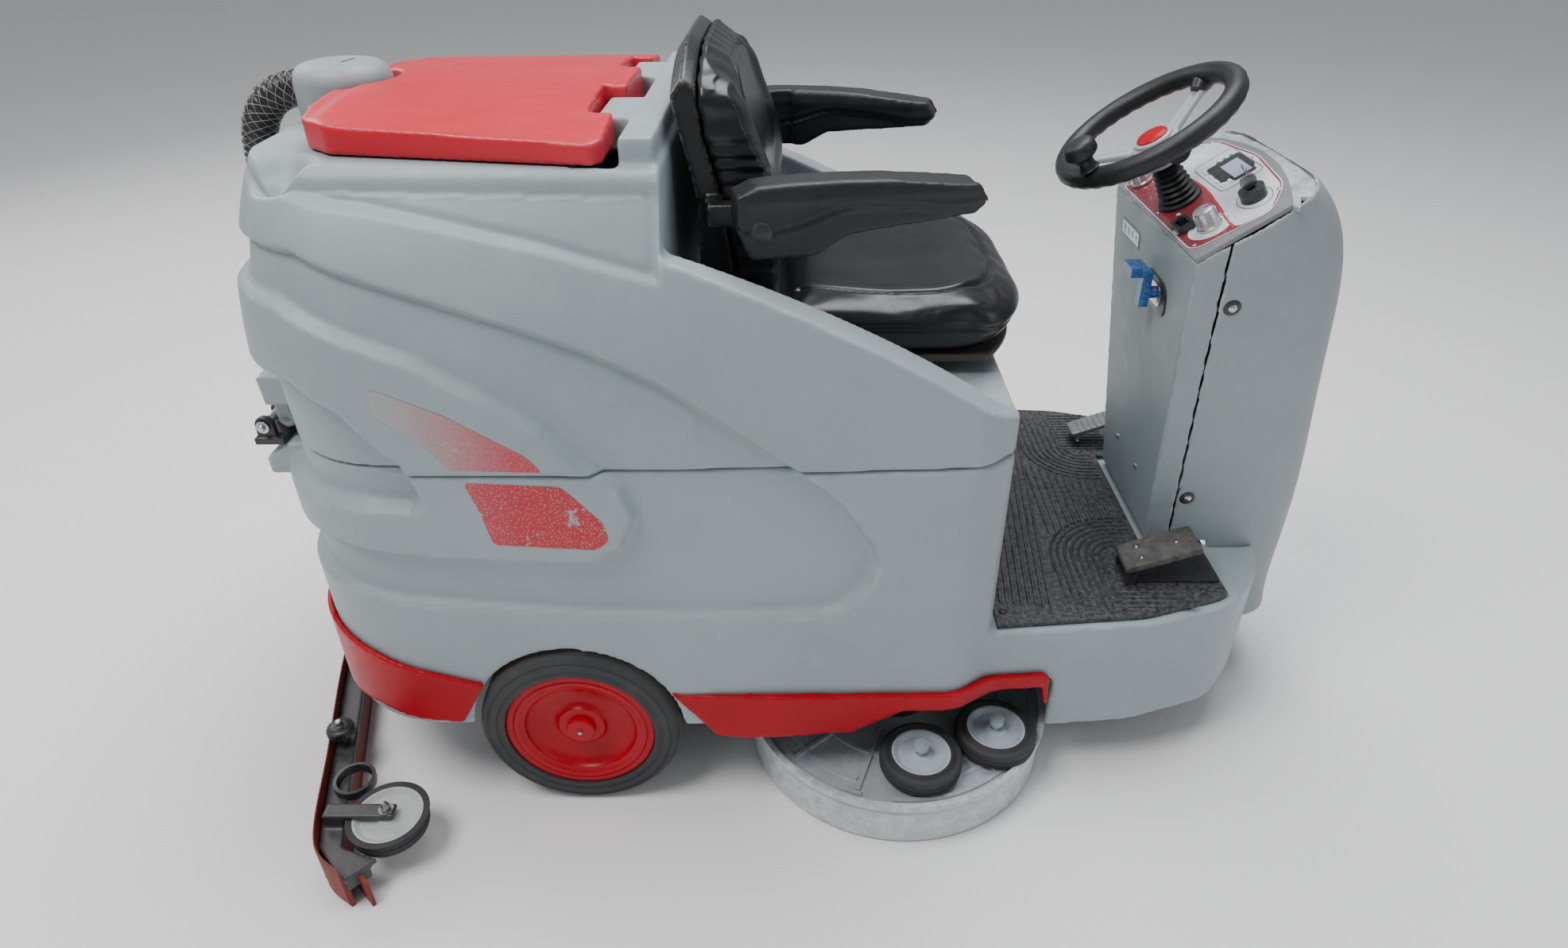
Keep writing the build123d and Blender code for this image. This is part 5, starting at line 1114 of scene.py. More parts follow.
# emergency button: a mushroom on a collar
stop_at = dash @ Matrix.Translation((*STOP_PLACE, 0))
collar = [(0.0082, 0.0185), (0.0128, 0.0180), (0.0140, 0.0165), (0.0146, 0.0008), (0.0178, 0.0006),
          (0.0180, 0.0001), (0.0082, 0.0001)]
piece("stop_collar", turned(collar, stop_at, 48, True), "black_plastic", "chassis", sharp=34)
mushroom = [(0, 0.0350), (0.0090, 0.0346), (0.0150, 0.0332), (0.0186, 0.0308), (0.0198, 0.0280),
            (0.0198, 0.0262), (0.0186, 0.0252), (0.0120, 0.0250), (0.0078, 0.0245), (0.0078, 0.0080),
            (0, 0.0080)]
piece("stop_button", turned(mushroom, stop_at, 64), "button_red", "emergency_button",
      ("emergency_button",), sharp=34)

# --- Column details -----------------------------------------------------------------------------


def column_rear_x(z):
    """The column's rear face at a height."""
    return AX + np.interp(z, [0.301, 0.560, 0.820, 0.900], [0.899, 0.877, 0.855, 0.848])


def on_column(y, z, out=0.0):
    """A plane on the column's rear face, looking at the driver."""
    at = (column_rear_x(z) - out, y, z)
    return plane(at, (0, 1, 0), (-0.996, 0, -0.085))


# the cover's top closes up to the dash's front edge
cover_skin = bpy.data.objects["column_front_cover_skin"]
shoulder = bmesh.new()
rows = []
for k in range(41):
    y = -0.181 + 0.362 * k / 40
    inner = dash_at(0.0035) @ Vector((0.1725 - 0.040 * (y / 0.182) ** 2, y, 0))
    away = Vector((inner.x - (AX + 0.93), y, 0)).normalized()
    hit, where, _, _ = cover_skin.ray_cast(inner, away, distance=0.15)
    outer = (where if hit else inner + away * 0.012) + away * 0.0025 + Vector((0, 0, 0.0025))
    drop = Vector((0, 0, -0.005))
    rows.append([shoulder.verts.new(p) for p in (inner, outer, outer + drop, inner + drop)])
for near, far in zip(rows, rows[1:]):
    for k in range(4):
        shoulder.faces.new((near[k], near[(k + 1) % 4], far[(k + 1) % 4], far[k]))
shoulder.faces.new(rows[0])
shoulder.faces.new(rows[-1])
piece("column_shoulder", shoulder, "cover_grey", "chassis", sharp=34)

sticker = on_column(0.089, 0.7465, 0.0004)
piece("sticker_frame", prism(rounded_box(0, 0, 0.088, 0.026, 0.002), 0.0, 0.0004, sticker), "ink_dark",
      "chassis", smooth=False)
piece("sticker_field", prism(rounded_box(0, 0, 0.082, 0.020, 0.001), 0.0004, 0.0007, sticker),
      "dash_white", "chassis", smooth=False)
drops = bmesh.new()
for k, size in enumerate((0.0030, 0.0038, 0.0046, 0.0054)):
    centre = -0.030 + 0.0195 * k
    outline = [(centre + size * math.cos(t), -0.002 + size * math.sin(t)) for t in
               (math.radians(-230 + 280 * j / 14) for j in range(15))] + [(centre, -0.002 + size * 1.9)]
    prism(outline, 0.0007, 0.0010, sticker, into=drops)
piece("sticker_drops", drops, "ink_blue", "chassis", smooth=False)

tap_at = on_column(-0.049, 0.702, 0.0)
recess = prism(soften([(-0.048, -0.026), (0.048, -0.026), (0.048, 0.026), (-0.048, 0.026)], 0.024, True,
                      8), 0.0002, 0.0022, tap_at, 0.0008)
piece("tap_surround", recess, "black_plastic", "chassis", sharp=32)
plate = prism(soften([(-0.028, -0.017), (0.028, -0.017), (0.028, 0.017), (-0.028, 0.017)], 0.016, True,
                     8), 0.0022, 0.0032, tap_at, 0.0005)
piece("tap_plate", plate, "bright_steel", "chassis", sharp=32)

# bolts in the column's sides, each on a rubber ring, and the two screws of the rear panel
bolts, rings = bmesh.new(), bmesh.new()
for side in (-1, 1):
    for x, z, y in ((0.922, 0.730, 0.1820), (0.946, 0.392, 0.1440)):
        found = None
        start = Vector((AX + x, side * 0.30, z))
        for name in ("column_front_cover_skin", "column_rear_panel_skin"):
            skin = bpy.data.objects[name]
            hit, where, normal, _ = skin.ray_cast(start, Vector((0, -side, 0)))
            if hit and (found is None or abs(where.y) > abs(found[0].y)):
                found = (where.copy(), normal.copy())
        if found:
            at = along(found[0], found[1])
            turned([(0, 0.0046), (0.0042, 0.0043), (0.0060, 0.0028), (0.0063, 0.0006), (0, 0.0006)], at,
                   28, into=bolts)
            turned([(0.0062, 0.0018), (0.0098, 0.0020), (0.0118, 0.0008), (0.0122, -0.0006),
                (0.0062, -0.0006)], at, 36,
                   True, into=rings)
piece("column_bolt_heads", bolts, "bright_steel", "chassis", ("column_bolts",), sharp=36)
piece("column_bolt_rings", rings, "black_plastic", "chassis", sharp=36)
rear_screws = bmesh.new()
for y in (-0.050, 0.050):
    turned([(0, 0.0028), (0.0030, 0.0026), (0.0048, 0.0014), (0.0052, -0.001), (0, -0.001)], on_column(y,
        0.395, 0.0), 24, into=rear_screws)
piece("column_rear_screws", rear_screws, "bright_steel", "chassis", sharp=36)

# --- Mat, tray and pedals -----------------------------------------------------------------------

print("mat")
MAT_TOP = 0.300
RIB = [(-0.0024, -0.0004), (-0.0021, 0.0012), (-0.0012, 0.0021), (0.0, 0.0024), (0.0012, 0.0021),
       (0.0021, 0.0012), (0.0024, -0.0004)]


def mat_rib(points, into):
    """One rounded bar of the mat's pattern, from axle-frame plan points."""
    line = [Vector((AX + x, y, MAT_TOP)) for x, y in points]
    ends = [0.55] + [1.0] * (len(line) - 2) + [0.55]
    a, b = line[0], line[-1]
    if len(line) == 2:
        d = (b - a).normalized() * 0.002
        line = [a, a + d, b - d, b]
        ends = [0.5, 1.0, 1.0, 0.5]
    swept(line, RIB, into=into, scales=ends)


ribs = bmesh.new()
RIGHT_CENTRE, LEFT_CENTRE = (0.848, -0.176), (0.866, 0.168)
# long bars across the platform on the seat's side
for k in range(8):
    x = 0.634 + 0.0106 * k
    mat_rib([(x, -0.286 - 0.002 * min(k, 5)), (x + 0.056, 0.285)], ribs)
# the bars that turn forward round the right and the left corner
for k in range(8):
    r = 0.034 + 0.0110 * k
    x = RIGHT_CENTRE[0] - r
    turn = [(RIGHT_CENTRE[0] - r * math.cos(t), RIGHT_CENTRE[1] + r * math.sin(t)) for t in
            (math.radians(90 * j / 8) for j in range(9))]
    mat_rib([(x, -0.305), (x, -0.240)] + turn + [(0.880, turn[-1][1])], ribs)
    r = 0.028 + 0.0114 * k
    x = LEFT_CENTRE[0] - r
    turn = [(LEFT_CENTRE[0] - r * math.cos(t), LEFT_CENTRE[1] - r * math.sin(t)) for t in
            (math.radians(90 * j / 8) for j in range(9))]
    mat_rib([(x, 0.288), (x, 0.230)] + turn + [(0.880, turn[-1][1])], ribs)
# the short bars between the two turns
for k in range(11):
    x = 0.749 + 0.0126 * k
    ends = [(x, -0.112 + 0.006 * k), (x, 0.111 - 0.0068 * k)] if k < 9 else [(x, -0.052), (x, 0.045)]
    mat_rib(ends, ribs)
# bars along the platform beside the brake pedal and under the accelerator
for k in range(13):
    y = 0.295 - 0.0107 * k
    mat_rib([(0.832, y), (0.903 + 0.0026 * k, y)], ribs)
for k in range(4):
    y = -0.263 - 0.0110 * k
    mat_rib([(0.822, y), (0.930, y)], ribs)
piece("mat_ribs", ribs, "mat_rubber", "chassis", sharp=50)
studs = bmesh.new()
for x, y in ((0.634, -0.307), (0.951, -0.259), (0.634, 0.307), (0.951, 0.275)):
    turned([(0, 0.0030), (0.0030, 0.0028), (0.0055, 0.0016), (0.0066, 0.0), (0, -0.0004)],
           plane((AX + x, y, MAT_TOP), (1, 0, 0), (0, 0, 1)), 28, into=studs)
piece("mat_studs", studs, "hinge_black", "chassis", sharp=36)


def pedal_cover(node, body, look, voxel=0.0026):
    """A pedal plate with softened edges."""
    return piece(node + "_plate", remeshed(NODES[node].data.copy(), voxel, 2), look, body, (node,), sharp=0)


pedal_cover("accelerator_pedal", "accelerator", "pedal_black")
pedal_cover("brake_pedal", "brake", "pedal_grey")


def on_pedal(node, u, v):
    """A plane on a pedal's top at a share of its length and width."""
    lo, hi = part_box(node)
    spot = Vector((lo.x + (hi.x - lo.x) * u, lo.y + (hi.y - lo.y) * v, hi.z + 0.05))
    skin = bpy.data.objects[node + "_plate"]
    hit, where, normal, _ = skin.ray_cast(spot, Vector((0, 0, -1)))
    return along(where, normal) if hit else along(spot, (0, 0, 1))


screws = bmesh.new()
for u, v in ((0.24, 0.28), (0.24, 0.72), (0.72, 0.50)):
    turned([(0, 0.0022), (0.0026, 0.0020), (0.0042, 0.0009), (0.0046, -0.0006), (0, -0.0006)],
           on_pedal("accelerator_pedal", u, v), 24, into=screws)
piece("accelerator_screws", screws, "key_steel", "accelerator", sharp=36)
bars = bmesh.new()
for k in range(6):
    at = on_pedal("brake_pedal", 0.2 + 0.12 * k, 0.5)
    y_dir = at.to_3x3().inverted() @ Vector((0, 1, 0))
    spin = math.atan2(y_dir.y, y_dir.x)
    cuboid((-0.021, 0.021), (-0.0014, 0.0014), (-0.0004, 0.0016), at @ Matrix.Rotation(spin, 4, "Z"),
        0.0005, into=bars)
piece("brake_treads", bars, "pedal_grey", "brake", sharp=36)

# --- Brush deck ---------------------------------------------------------------------------------

print("deck")
DECK_X, BRUSH_Y, DECK_R = AX + 0.490, 0.245, 0.240


def rim_line(grow, z):
    """The deck's right-hand and left-hand outer edges as lines."""
    lines = []
    for side in (-1, 1):
        line = []
        for k in range(97):
            t = math.radians(-20 + 220 * k / 96)
            line.append(Vector((DECK_X + (DECK_R + grow) * math.cos(t),
                side * (BRUSH_Y + (DECK_R + grow) * math.sin(t)), z)))
        lines.append([p for p in line if abs(p.y) > 0.122])
    return lines


# a double-lipped pale band round the plate's edge, and the flared skirt under it
bands = bmesh.new()
for line in rim_line(0.0005, 0.078):
    swept(line, [(-0.004, -0.005), (0.0045, -0.005), (0.006, -0.0035), (0.006, -0.001), (0.0035, 0.0),
                 (0.006, 0.0012), (0.006, 0.0045), (0.0040, 0.0058), (-0.004, 0.0058)], into=bands)
piece("deck_rim_bands", bands, "deck_skirt", "deck", sharp=40)
skirt = bmesh.new()
for line in rim_line(-0.003, 0.0):
    section = [(0.0, 0.066), (0.003, 0.066), (0.0040, 0.058), (0.0045, 0.040), (0.0065, 0.020),
               (0.0105, 0.005), (0.0085, 0.004), (0.0045, 0.018), (0.0015, 0.038), (0.0, 0.056)]
    flip = -1 if line[0].y > 0 else 1
    swept(line, [(u * flip, v) for u, v in section], into=skirt)
piece("deck_skirt_flare", skirt, "deck_skirt", "deck", sharp=40)
# embossed arcs on the casting, following the skirt's curve, and a raised edge round the motor
arcs = bmesh.new()
for side in (-1, 1):
    for r, start, end in ((0.222, -12, 96), (0.196, -10, 88), (0.170, -8, 80), (0.222, 108, 192),
                          (0.196, 112, 188), (0.140, -5, 185)):
        line = [Vector((DECK_X + r * math.cos(math.radians(t)),
            side * (BRUSH_Y + r * math.sin(math.radians(t))), 0.0722))
                for t in np.linspace(start, end, 40)]
        swept(line, [(-0.0042, -0.001), (0.0042, -0.001), (0.0032, 0.0032), (-0.0032, 0.0032)], into=arcs)
    for t in (20, 50, 80, 110, 140, 165):
        c, s = math.cos(math.radians(t)), math.sin(math.radians(t))
        line = [Vector((DECK_X + r * c, side * (BRUSH_Y + r * s), 0.0722))
            for r in (0.075, 0.12, 0.17, 0.218)]
        swept(line, [(-0.0036, -0.001), (0.0036, -0.001), (0.0028, 0.0045), (-0.0028, 0.0045)], into=arcs)
piece("deck_emboss", arcs, "deck_cast", "deck", sharp=40)
# fins and a cap on each brush motor
motors = bmesh.new()
for side in (-1, 1):
    at = plane((DECK_X, side * BRUSH_Y, 0), (1, 0, 0), (0, 0, 1))
    for k in range(7):
        z = 0.125 + 0.016 * k
        turned([(0.0505, z), (0.0545, z + 0.001), (0.0545, z + 0.0045), (0.0505, z + 0.0055)], at, 64,
               True, into=motors)
    turned([(0, 0.2628), (0.040, 0.2625), (0.046, 0.2610), (0.0478, 0.2605), (0, 0.2605)], at, 64,
        into=motors)
piece("brush_motor_fins", motors, "motor_black", "deck", sharp=36)
# bristle tufts hang from each brush's block
tuft_at = [(r, k) for r in (0.088, 0.104, 0.120, 0.136, 0.152, 0.168, 0.184, 0.200)
    for k in range(int(r * 340))]
rng = np.random.default_rng(11)
for side, hand in SIDES:
    tufts = bmesh.new()
    for r, k in tuft_at:
        t = 2 * math.pi * k / int(r * 340)
        x, y = DECK_X + r * math.cos(t), side * BRUSH_Y + r * math.sin(t)
        lean = rng.normal(0, 0.0022, 2)
        turned([(0, 0.0355), (0.0030, 0.0355), (0.0044, 0.0015), (0, 0.0012)],
               plane((x, y, 0), (1, 0, 0), (lean[0] * 8, lean[1] * 8, 1)), 6, into=tufts)
    piece("brush_tufts_" + hand, tufts, "bristle", "brush_" + hand, sharp=30)
    block = [(0.0, 0.049), (0.118, 0.0488), (0.196, 0.0480), (0.2045, 0.0450), (0.2055, 0.0370),
             (0.2035, 0.0350), (0.076, 0.0350), (0.074, 0.0365), (0.0, 0.0370)]
    shank = [(0, 0.0968), (0.0105, 0.0968), (0.0119, 0.0955), (0.0119, 0.0485), (0, 0.0485)]
    at = plane((DECK_X, side * BRUSH_Y, 0), (1, 0, 0), (0, 0, 1))
    piece("brush_block_" + hand, turned(block, at, 120), "roller_grey", "brush_" + hand,
          ("brush_" + hand,), sharp=34)
    piece("brush_shank_" + hand, turned(shank, at, 40), "bright_steel", "brush_" + hand, sharp=34)


def roller(name, x, y, z, radius, body, replaced, disc_look, rubber=0.018):
    """A bumper roller: rubber tyre with a ribbed side wall and a dished disc."""
    at = plane((x, y, z), (1, 0, 0), (0, 0, 1))
    r = radius
    inner = r - rubber
    tyre_line = [
        (inner, -0.014), (inner, 0.0142), (inner + 0.003, 0.0150), (inner + 0.0045, 0.0138),
        (inner + 0.006, 0.0150),
        (inner + 0.0075, 0.0138), (inner + 0.009, 0.0150), (r - 0.006, 0.0148), (r - 0.0022, 0.0128),
        (r - 0.0004, 0.009),
        (r, 0.004), (r - 0.0010, 0.0034), (r - 0.0010, 0.0006), (r, 0.0), (r, -0.0036),
        (r - 0.0010, -0.0042),
        (r - 0.0010, -0.0070), (r - 0.0004, -0.0080), (r - 0.0024, -0.0128), (r - 0.007, -0.0150),
    ]
    piece(name + "_tyre", turned(tyre_line, at, 96, True), "tyre", body, (replaced,), sharp=36)
    disc_line = [
        (0.0068, 0.0120), (0.013, 0.0120), (0.0150, 0.0105), (0.0165, 0.0085), (0.024, 0.0075),
        (inner - 0.010, 0.0085),
        (inner - 0.006, 0.0115), (inner - 0.0035, 0.0142), (inner - 0.0004, 0.0146),
        (inner - 0.0002, -0.0140),
        (0.0068, -0.0140),
    ]
    piece(name + "_disc", turned(disc_line, at, 96, True), disc_look, body, sharp=30)
    return at


def dome_nut(name, at, body, base=0.0120, size=0.0088):
    """A dome nut on a washer."""
    bm = turned([(0.0, base), (size * 1.45, base), (size * 1.5, base + 0.0009),
        (size * 1.42, base + 0.0018), (0, base + 0.0018)],
                at, 36)
    hexagon = [(size * math.cos(math.pi * k / 3), size * math.sin(math.pi * k / 3)) for k in range(6)]
    prism(hexagon, base + 0.0018, base + 0.0080, at, 0.0006, into=bm)
    turned([(size * 0.80, base + 0.0078), (size * 0.74, base + 0.0112), (size * 0.5, base + 0.0146),
            (0, base + 0.0158), (0, base + 0.0078)], at, 32, into=bm)
    piece(name, bm, "key_steel", body, sharp=34)


for side, hand in SIDES:
    for place, x, y in (("rear", AX + 0.514, 0.404), ("front", AX + 0.636, 0.354)):
        lo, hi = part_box(f"deck_roller_{place}_{hand}")
        mid = 0.5 * (lo + hi)
        roller(f"deck_roller_{place}_{hand}", mid.x, mid.y, mid.z, 0.5 * (hi.x - lo.x),
               f"deck_roller_{place}_{hand}", f"deck_roller_{place}_{hand}", "roller_grey")

# --- Squeegee -----------------------------------------------------------------------------------

print("squeegee")
BLADE_LINE = [(-0.500, 0.0), (-0.467, 0.172), (-0.412, 0.372), (-0.365, 0.539), (-0.309, 0.592)]
blade_spine = curve_points([(AX + x, -y, 0) for x, y in reversed(BLADE_LINE)][:-1] +
                           [(AX + x, y, 0) for x, y in BLADE_LINE], 10)


blades = bmesh.new()
blades.from_mesh(NODES["squeegee_blades"].data)
piece("squeegee_blade_pair", blades, "blade_rubber", "squeegee", ("squeegee_blades",), sharp=34)
moulded("squeegee_body", 0.0028, 2, "squeegee", "squeegee_body")
# the clamping strip along the rear blade
clamp = bmesh.new()
line = [Vector((p.x + 0.0008, p.y, 0.043)) for p in blade_spine if abs(p.y) < 0.56]
swept(line, [(-0.0016, -0.007), (0.0016, -0.007), (0.0016, 0.007), (-0.0016, 0.007)], into=clamp)
piece("squeegee_clamp", clamp, "bright_steel", "squeegee", sharp=36)
apron = bmesh.new()
swept([Vector((p.x + 0.0005, p.y, 0.0)) for p in blade_spine],
      [(-0.002, 0.006), (0.0015, 0.006), (0.0015, 0.080), (0.0005, 0.082), (-0.001, 0.082),
      (-0.002, 0.080)], into=apron)
piece("squeegee_rear_blade", apron, "blade_rubber", "squeegee", sharp=36)

for side, hand in SIDES:
    lo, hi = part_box("squeegee_roller_" + hand)
    mid = 0.5 * (lo + hi)
    at = roller("squeegee_roller_" + hand, mid.x, mid.y, mid.z, 0.5 * (hi.x - lo.x),
                "squeegee_roller_" + hand, "squeegee_roller_" + hand, "roller_white", 0.0055)
    dome_nut("squeegee_roller_nut_" + hand, at, "squeegee", 0.0252, 0.0075)
    knob_at = plane((AX - 0.403, side * 0.340, 0), (1, 0, 0), (0, 0, 1))
    knob_profile = [(0, 0.0972), (0.0100, 0.0972), (0.0165, 0.0962), (0.0195, 0.0942), (0.0200, 0.0920),
                    (0.0200, 0.0820), (0.0190, 0.0800), (0.0110, 0.0795), (0.0100, 0.0760), (0, 0.0760)]
    bm = turned(knob_profile, knob_at, 56)
    for k in range(24):
        spot = knob_at @ Matrix.Rotation(2 * math.pi * k / 24, 4,
            "Z") @ Matrix.Translation((0.0200, 0, 0.087))
        cuboid((-0.001, 0.0013), (-0.0011, 0.0011), (-0.0056, 0.0052), spot, into=bm)
    piece("squeegee_knob_" + hand, bm, "black_plastic", "squeegee", sharp=34)
    stud = turned([(0, 0.1070), (0.0034, 0.1068), (0.0048, 0.1056), (0.0050, 0.0968), (0, 0.0968)],
                  knob_at, 28)
    piece("squeegee_stud_" + hand, stud, "bright_steel", "squeegee", sharp=34)
    # the ring that catches the blade's end and the fringe behind it
    cup = turned([(0.024, 0.060), (0.0305, 0.060), (0.0315, 0.064), (0.0310, 0.074), (0.0260, 0.0745),
        (0.0245, 0.066)],
                 plane((AX - 0.352, side * 0.425, 0), (1, 0, 0), (0, 0, 1)), 48, True)
    piece("squeegee_cup_" + hand, cup, "black_plastic", "squeegee", sharp=36)
    fringe = bmesh.new()
    for k in range(26):
        t = k / 25
        x = AX - 0.322 - 0.040 * (1 - t)
        y = side * (0.576 - 0.034 * (1 - t))
        tip = Vector((x - 0.003 + 0.0015 * math.sin(7 * k), y + side * 0.0045,
            0.004 + 0.002 * math.sin(3 * k)))
        swept([Vector((x + 0.004, y, 0.034)), Vector((x, y + side * 0.002, 0.018)), tip],
              ring_section(0.0007, 5), into=fringe)
    piece("squeegee_fringe_" + hand, fringe, "net_white", "squeegee", sharp=60)

# --- Hose and tilt hinge ------------------------------------------------------------------------

print("hose")
HOSE_ROUTE = [(-0.332, 0.995), (-0.388, 0.995), (-0.432, 0.955), (-0.444, 0.890), (-0.436, 0.790),
              (-0.433, 0.660), (-0.437, 0.510), (-0.441, 0.370), (-0.456, 0.260), (-0.470, 0.190),
              (-0.470, 0.126)]
HOSE_R = 0.024
route = bpy.data.curves.new("hose_route", "CURVE")
route.dimensions = "3D"
line = route.splines.new("NURBS")
line.points.add(len(HOSE_ROUTE) - 1)
for point, (x, z) in zip(line.points, HOSE_ROUTE):
    point.co = (AX + x, 0.0, z, 1.0)
line.order_u = 3
line.use_endpoint_u = True
line.resolution_u = 24
route_object = bpy.data.objects.new("hose_route", route)
SCENE.collection.objects.link(route_object)
bpy.context.view_layer.update()
read = bpy.data.meshes.new_from_object(route_object)
centre_line = [v.co.copy() for v in read.vertices]
bpy.data.objects.remove(route_object)


def evenly(points, count):
    """Points at even steps along a line."""
    lengths = [0.0]
    for a, b in zip(points, points[1:]):
        lengths.append(lengths[-1] + (b - a).length)
    out = []
    for k in range(count + 1):
        at = lengths[-1] * k / count
        i = min(int(np.searchsorted(lengths, at, side="right")) - 1, len(points) - 2)
        share = (at - lengths[i]) / max(lengths[i + 1] - lengths[i], 1e-9)
        out.append(points[i].lerp(points[i + 1], share))
    return out, lengths[-1]


RINGS_PER_RIDGE = 6
_, hose_length = evenly(centre_line, 10)
ridges = int(hose_length / 0.0085)
hose_line, _ = evenly(centre_line, ridges * RINGS_PER_RIDGE)
sizes = []
for k in range(len(hose_line)):
    wave = math.cos(2 * math.pi * k / RINGS_PER_RIDGE)
    sizes.append(1.0 - 0.09 * (0.5 - 0.5 * wave) ** 0.8)
hose = bmesh.new()
swept(hose_line, ring_section(HOSE_R, 40), up=(0, 1, 0), into=hose, scales=sizes)
hose_made = piece("hose_tube", hose, "hose_black", "chassis", ("suction_hose",), sharp=0)
net = bmesh.new()
for turn in (1, -1):
    for start in range(8):
        strand = []
        for k in range(0, len(hose_line), 2):
            a = 2 * math.pi * (start / 8) + turn * 2 * math.pi * k / (RINGS_PER_RIDGE * 13)
            before, after = hose_line[max(k - 1, 0)], hose_line[min(k + 1, len(hose_line) - 1)]
            forward_dir = (after - before).normalized()
            side_dir = forward_dir.cross(Vector((0, 1, 0))).normalized()
            up_dir = Vector((0, 1, 0))
            r = HOSE_R + 0.0002
            strand.append(hose_line[k] + side_dir * r * math.cos(a) + up_dir * r * math.sin(a))
        swept(strand, ring_section(0.0004, 4), up=(0.01, 1, 0.02), into=net)
net_made = piece("hose_net", net, "net_white", "chassis", sharp=60)
for made in (hose_made, net_made):
    made.parent = None
    made.matrix_world = Matrix()
    if "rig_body" in made:
        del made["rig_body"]
    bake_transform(made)

# a cuff on the hose's lower end
cuff = turned([(0.0246, -0.004), (0.0275, -0.003), (0.0282, 0.0), (0.0282, 0.026), (0.0270, 0.030),
    (0.0246, 0.031)],
              along(hose_line[-1] + Vector((0, 0, -0.002)), (0, 0, 1)), 48, True)
piece("hose_cuff", cuff, "hinge_black", "squeegee", sharp=36)

# tilt hinge: black brackets on the body, and a bright pin head on the tank at each side
brackets = remeshed(NODES["tank_hinge_brackets"].data.copy(), 0.0015, 2)
piece("hinge_brackets", brackets, "hinge_black", "chassis", ("tank_hinge_brackets",), sharp=0)
for side, hand in SIDES:
    pin_at = along((AX - 0.420, side * 0.215, 0.590), (0, side, 0))
    bm = turned([(0, 0.0405), (0.0040, 0.0400), (0.0052, 0.0385), (0.0054, 0.0350), (0.0090, 0.0345),
                 (0.0092, 0.0340), (0.0, 0.0340)], pin_at, 32)
    piece("hinge_pin_head_" + hand, bm, "bright_steel", "recovery_tank", sharp=34)

# the cap's slot
lo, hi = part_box("hose_cap")
cap_mid = 0.5 * (lo + hi)
# the slot is not cut: a thin dark sheet on the cap's top stands in for it, painted shade of the slot's
# groove
slot_shade_sheet = prism(rounded_box(0, 0, 0.030, 0.0020, 0.0009), 0.0, 0.0006,
                  plane((cap_mid.x + 0.012, cap_mid.y, hi.z + 0.0002), (0.2, 1, 0), (0, 0, 1)))
piece("cap_slot", slot_shade_sheet, "ink_dark", "recovery_tank", smooth=False)

# --- Worn decals on the side, without wording ---------------------------------------------------

print("decals")


def decal_look(name, left, right, bare, low, high, dots):
    """A peeled decal: its colour runs from left to right, with fine dots and chips down to the plastic."""
    m = bpy.data.materials.new(name)
    m.use_nodes = True
    nodes, links = m.node_tree.nodes, m.node_tree.links
    shader = nodes["Principled BSDF"]
    shader.inputs["Roughness"].default_value = 0.42
    place = nodes.new("ShaderNodeTexCoord")
    split = nodes.new("ShaderNodeSeparateXYZ")
    links.new(place.outputs["Object"], split.inputs["Vector"])
    run = nodes.new("ShaderNodeMapRange")
    run.inputs["From Min"].default_value, run.inputs["From Max"].default_value = low, high
    links.new(split.outputs["X"], run.inputs["Value"])
    tone = nodes.new("ShaderNodeMix")
    tone.data_type = "RGBA"
    tone.inputs[6].default_value, tone.inputs[7].default_value = (*left, 1), (*right, 1)
    links.new(run.outputs["Result"], tone.inputs[0])
    dot = nodes.new("ShaderNodeTexVoronoi")
    dot.inputs["Scale"].default_value = dots
    links.new(place.outputs["Object"], dot.inputs["Vector"])
    dot_cut = nodes.new("ShaderNodeMapRange")
    for key, number in (("From Min", 0.25), ("From Max", 0.34), ("To Min", 0.35), ("To Max", 0.0)):
        dot_cut.inputs[key].default_value = number
    links.new(dot.outputs["Distance"], dot_cut.inputs["Value"])
    dotted = nodes.new("ShaderNodeMix")
    dotted.data_type = "RGBA"
    dotted.inputs[7].default_value = (0.72, 0.55, 0.56, 1)
    links.new(dot_cut.outputs["Result"], dotted.inputs[0])
    links.new(tone.outputs[2], dotted.inputs[6])
    chips = nodes.new("ShaderNodeTexNoise")
    chips.inputs["Scale"].default_value, chips.inputs["Detail"].default_value = 17.0, 9.0
    chips.inputs["Roughness"].default_value = 0.72
    links.new(place.outputs["Object"], chips.inputs["Vector"])
    chip_cut = nodes.new("ShaderNodeMapRange")
    chip_cut.inputs["From Min"].default_value, chip_cut.inputs["From Max"].default_value = 0.585, 0.605
    links.new(chips.outputs["Fac"], chip_cut.inputs["Value"])
    peeled = nodes.new("ShaderNodeMix")
    peeled.data_type = "RGBA"
    peeled.inputs[7].default_value = (*bare, 1)
    links.new(chip_cut.outputs["Result"], peeled.inputs[0])
    links.new(dotted.outputs[2], peeled.inputs[6])
    links.new(peeled.outputs[2], shader.inputs["Base Color"])
    return m


MATERIALS["decal_upper"] = decal_look("decal_upper", (0.36, 0.38, 0.38), (0.52, 0.05, 0.07), GREY, -0.50,
    -0.36, 460.0)
MATERIALS["decal_lower"] = decal_look("decal_lower", (0.50, 0.06, 0.08), (0.50, 0.015, 0.03), GREY, -0.43,
    -0.36, 300.0)


